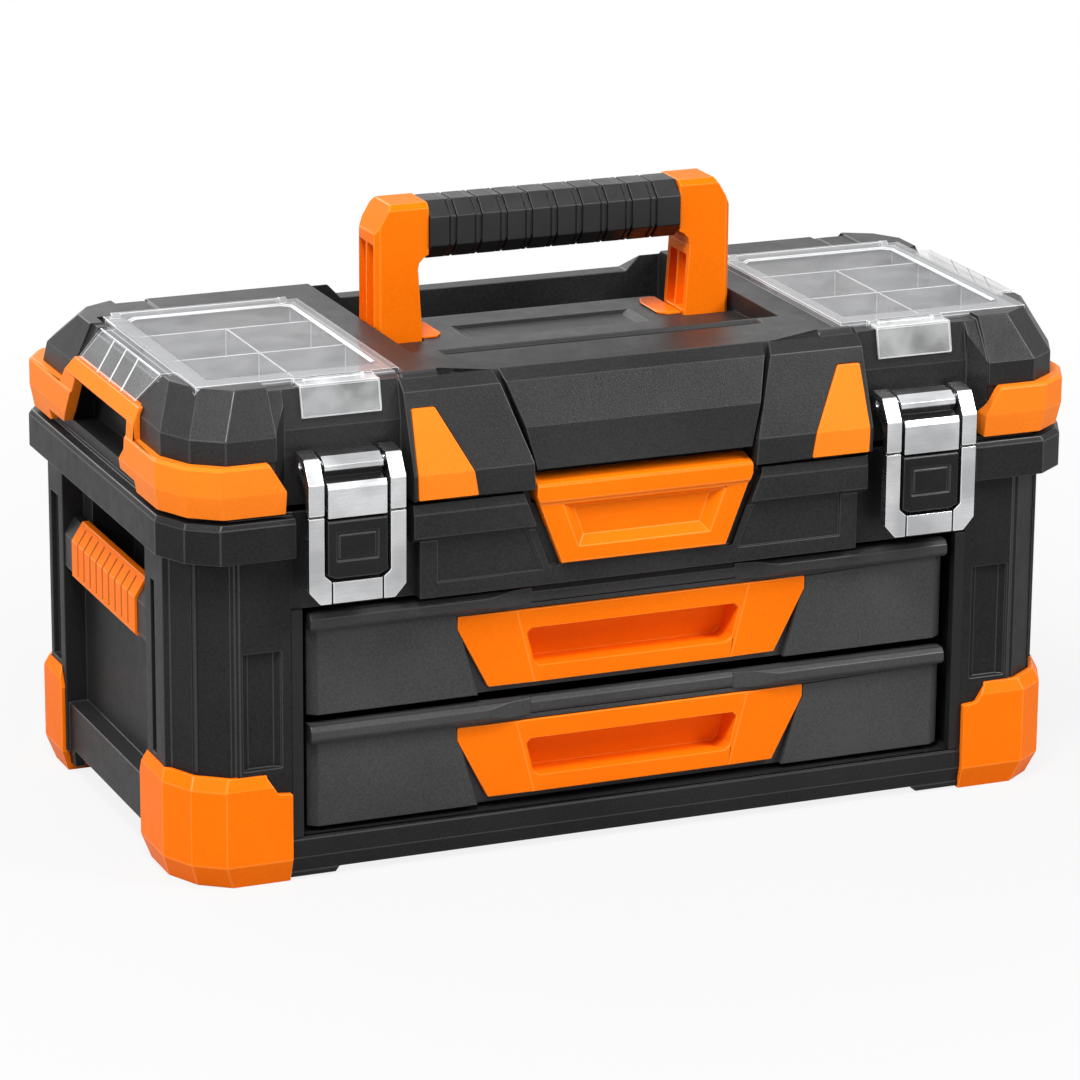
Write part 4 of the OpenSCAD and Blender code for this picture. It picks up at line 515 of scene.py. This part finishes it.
def curve_point(t):
    """Point at t on the fillet's curve, from the wall to the deck."""
    return tuple((1 - t) ** 2 * a + 2 * t * (1 - t) * b + t ** 2 * c
                 for a, b, c in zip(WALL_END, BEND, DECK_END))


profile = [RAMP_HIGH, RAMP_LOW] + [curve_point(i / FILLET_STEPS) for i in range(FILLET_STEPS + 1)]
count = len(profile)
points = [(x, y, z) for x in (-FILLET_HALF, FILLET_HALF) for y, z in profile]
sides = [(i, (i + 1) % count, count + (i + 1) % count, count + i) for i in range(count)]
ends = [tuple(range(count))[::-1], tuple(range(count, 2 * count))]
fillet_mesh = bpy.data.meshes.new("lid_ramp_fillet")
fillet_mesh.from_pydata(points, [], sides + ends)
for face in fillet_mesh.polygons[2:count]:      # all sides but the two inside the ramp and its wall
    face.use_smooth = True
fillet_mesh.materials.append(charcoal)
fillet = bpy.data.objects.new("lid_ramp_fillet", fillet_mesh)
scene.collection.objects.link(fillet)
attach(fillet, "lid")

# ------------------------------------------------------------------ floor and world

WHITE = (1, 1, 1, 1)
FLOOR_HALF = 30
FLOOR_DARK, FLOOR_LIGHT = (0.44, 0.44, 0.44, 1), (0.46, 0.46, 0.46, 1)
FLOOR_CLOUD = 3
FLOOR_GLOSS = 0.4           # share of the white background that reflections of the floor show
WHITE_NEAR, WHITE_FAR = 0.86, 1.0       # share of white that it shows near the object, and far off
NEAR_REACH, FAR_REACH = 0.35, 1.1       # distances from the origin between which that share changes
WORLD_LIGHT = 0.2           # strength of the world as a lamp

floor_mesh = bpy.data.meshes.new("floor")
floor_mesh.from_pydata([(-FLOOR_HALF, -FLOOR_HALF, 0), (FLOOR_HALF, -FLOOR_HALF, 0),
                        (FLOOR_HALF, FLOOR_HALF, 0), (-FLOOR_HALF, FLOOR_HALF, 0)], [], [(0, 1, 2, 3)])
floor = bpy.data.objects.new("floor", floor_mesh)
scene.collection.objects.link(floor)
t = Finish("floor")
glow = t.node("ShaderNodeEmission")
t.feed(glow, {"Color": WHITE, "Strength": 1.0})
matte = t.node("ShaderNodeBsdfDiffuse")
t.feed(matte, {"Color": t.mix(t.noise(FLOOR_CLOUD, detail=2), FLOOR_DARK, FLOOR_LIGHT)})
rays = t.node("ShaderNodeLightPath").outputs
seen = t.larger(t.larger(rays["Is Camera Ray"], rays["Is Transmission Ray"]),
                t.times(rays["Is Glossy Ray"], FLOOR_GLOSS))
away = t.node("ShaderNodeVectorMath", operation="LENGTH")
t.link(t.place, away.inputs[0])
share = t.span(away.outputs["Value"], NEAR_REACH, FAR_REACH, WHITE_NEAR, WHITE_FAR)
t.link(t.mix_shaders(t.times(seen, share), matte.outputs[0], glow.outputs[0]),
       t.tree.nodes["Material Output"].inputs["Surface"])
floor_mesh.materials.append(t.material)

world = bpy.data.worlds.new("world")
scene.world = world
world.use_nodes = True
w = Tree(world.node_tree)
plain = w.tree.nodes["Background"]
w.feed(plain, {"Color": WHITE, "Strength": WORLD_LIGHT})
white = w.node("ShaderNodeBackground")
w.feed(white, {"Color": WHITE, "Strength": 1.0})
rays = w.node("ShaderNodeLightPath").outputs
seen = w.larger(rays["Is Camera Ray"], w.larger(rays["Is Glossy Ray"], rays["Is Transmission Ray"]))
w.link(w.mix_shaders(seen, plain.outputs[0], white.outputs[0]),
       w.tree.nodes["World Output"].inputs["Surface"])

# ------------------------------------------------------------------ lamps

AIM = Vector((0, 0, 0.16))      # the point that all lamps face

# Place, width and height, and watts.
LAMPS = {
    "key": ((-0.9, -1.2, 2.6), (0.8, 0.8), 66),
    "side": ((-2.2, -0.5, 1.3), (0.8, 0.8), 28),
    "fill": ((1.6, -1.6, 1.7), (0.8, 0.8), 42),
    "front": ((0.3, -2.8, 0.8), (0.8, 0.8), 6),
    "rear": ((-0.7, 2.2, 1.6), (2.6, 1.8), 36),
}

for name, (spot, size, power) in LAMPS.items():
    lamp = bpy.data.lights.new(name, "AREA")
    lamp.shape = "RECTANGLE"
    lamp.size, lamp.size_y = size
    lamp.energy = power
    o = bpy.data.objects.new(name, lamp)
    scene.collection.objects.link(o)
    o.location = spot
    o.rotation_euler = (AIM - Vector(spot)).to_track_quat("-Z", "Y").to_euler()
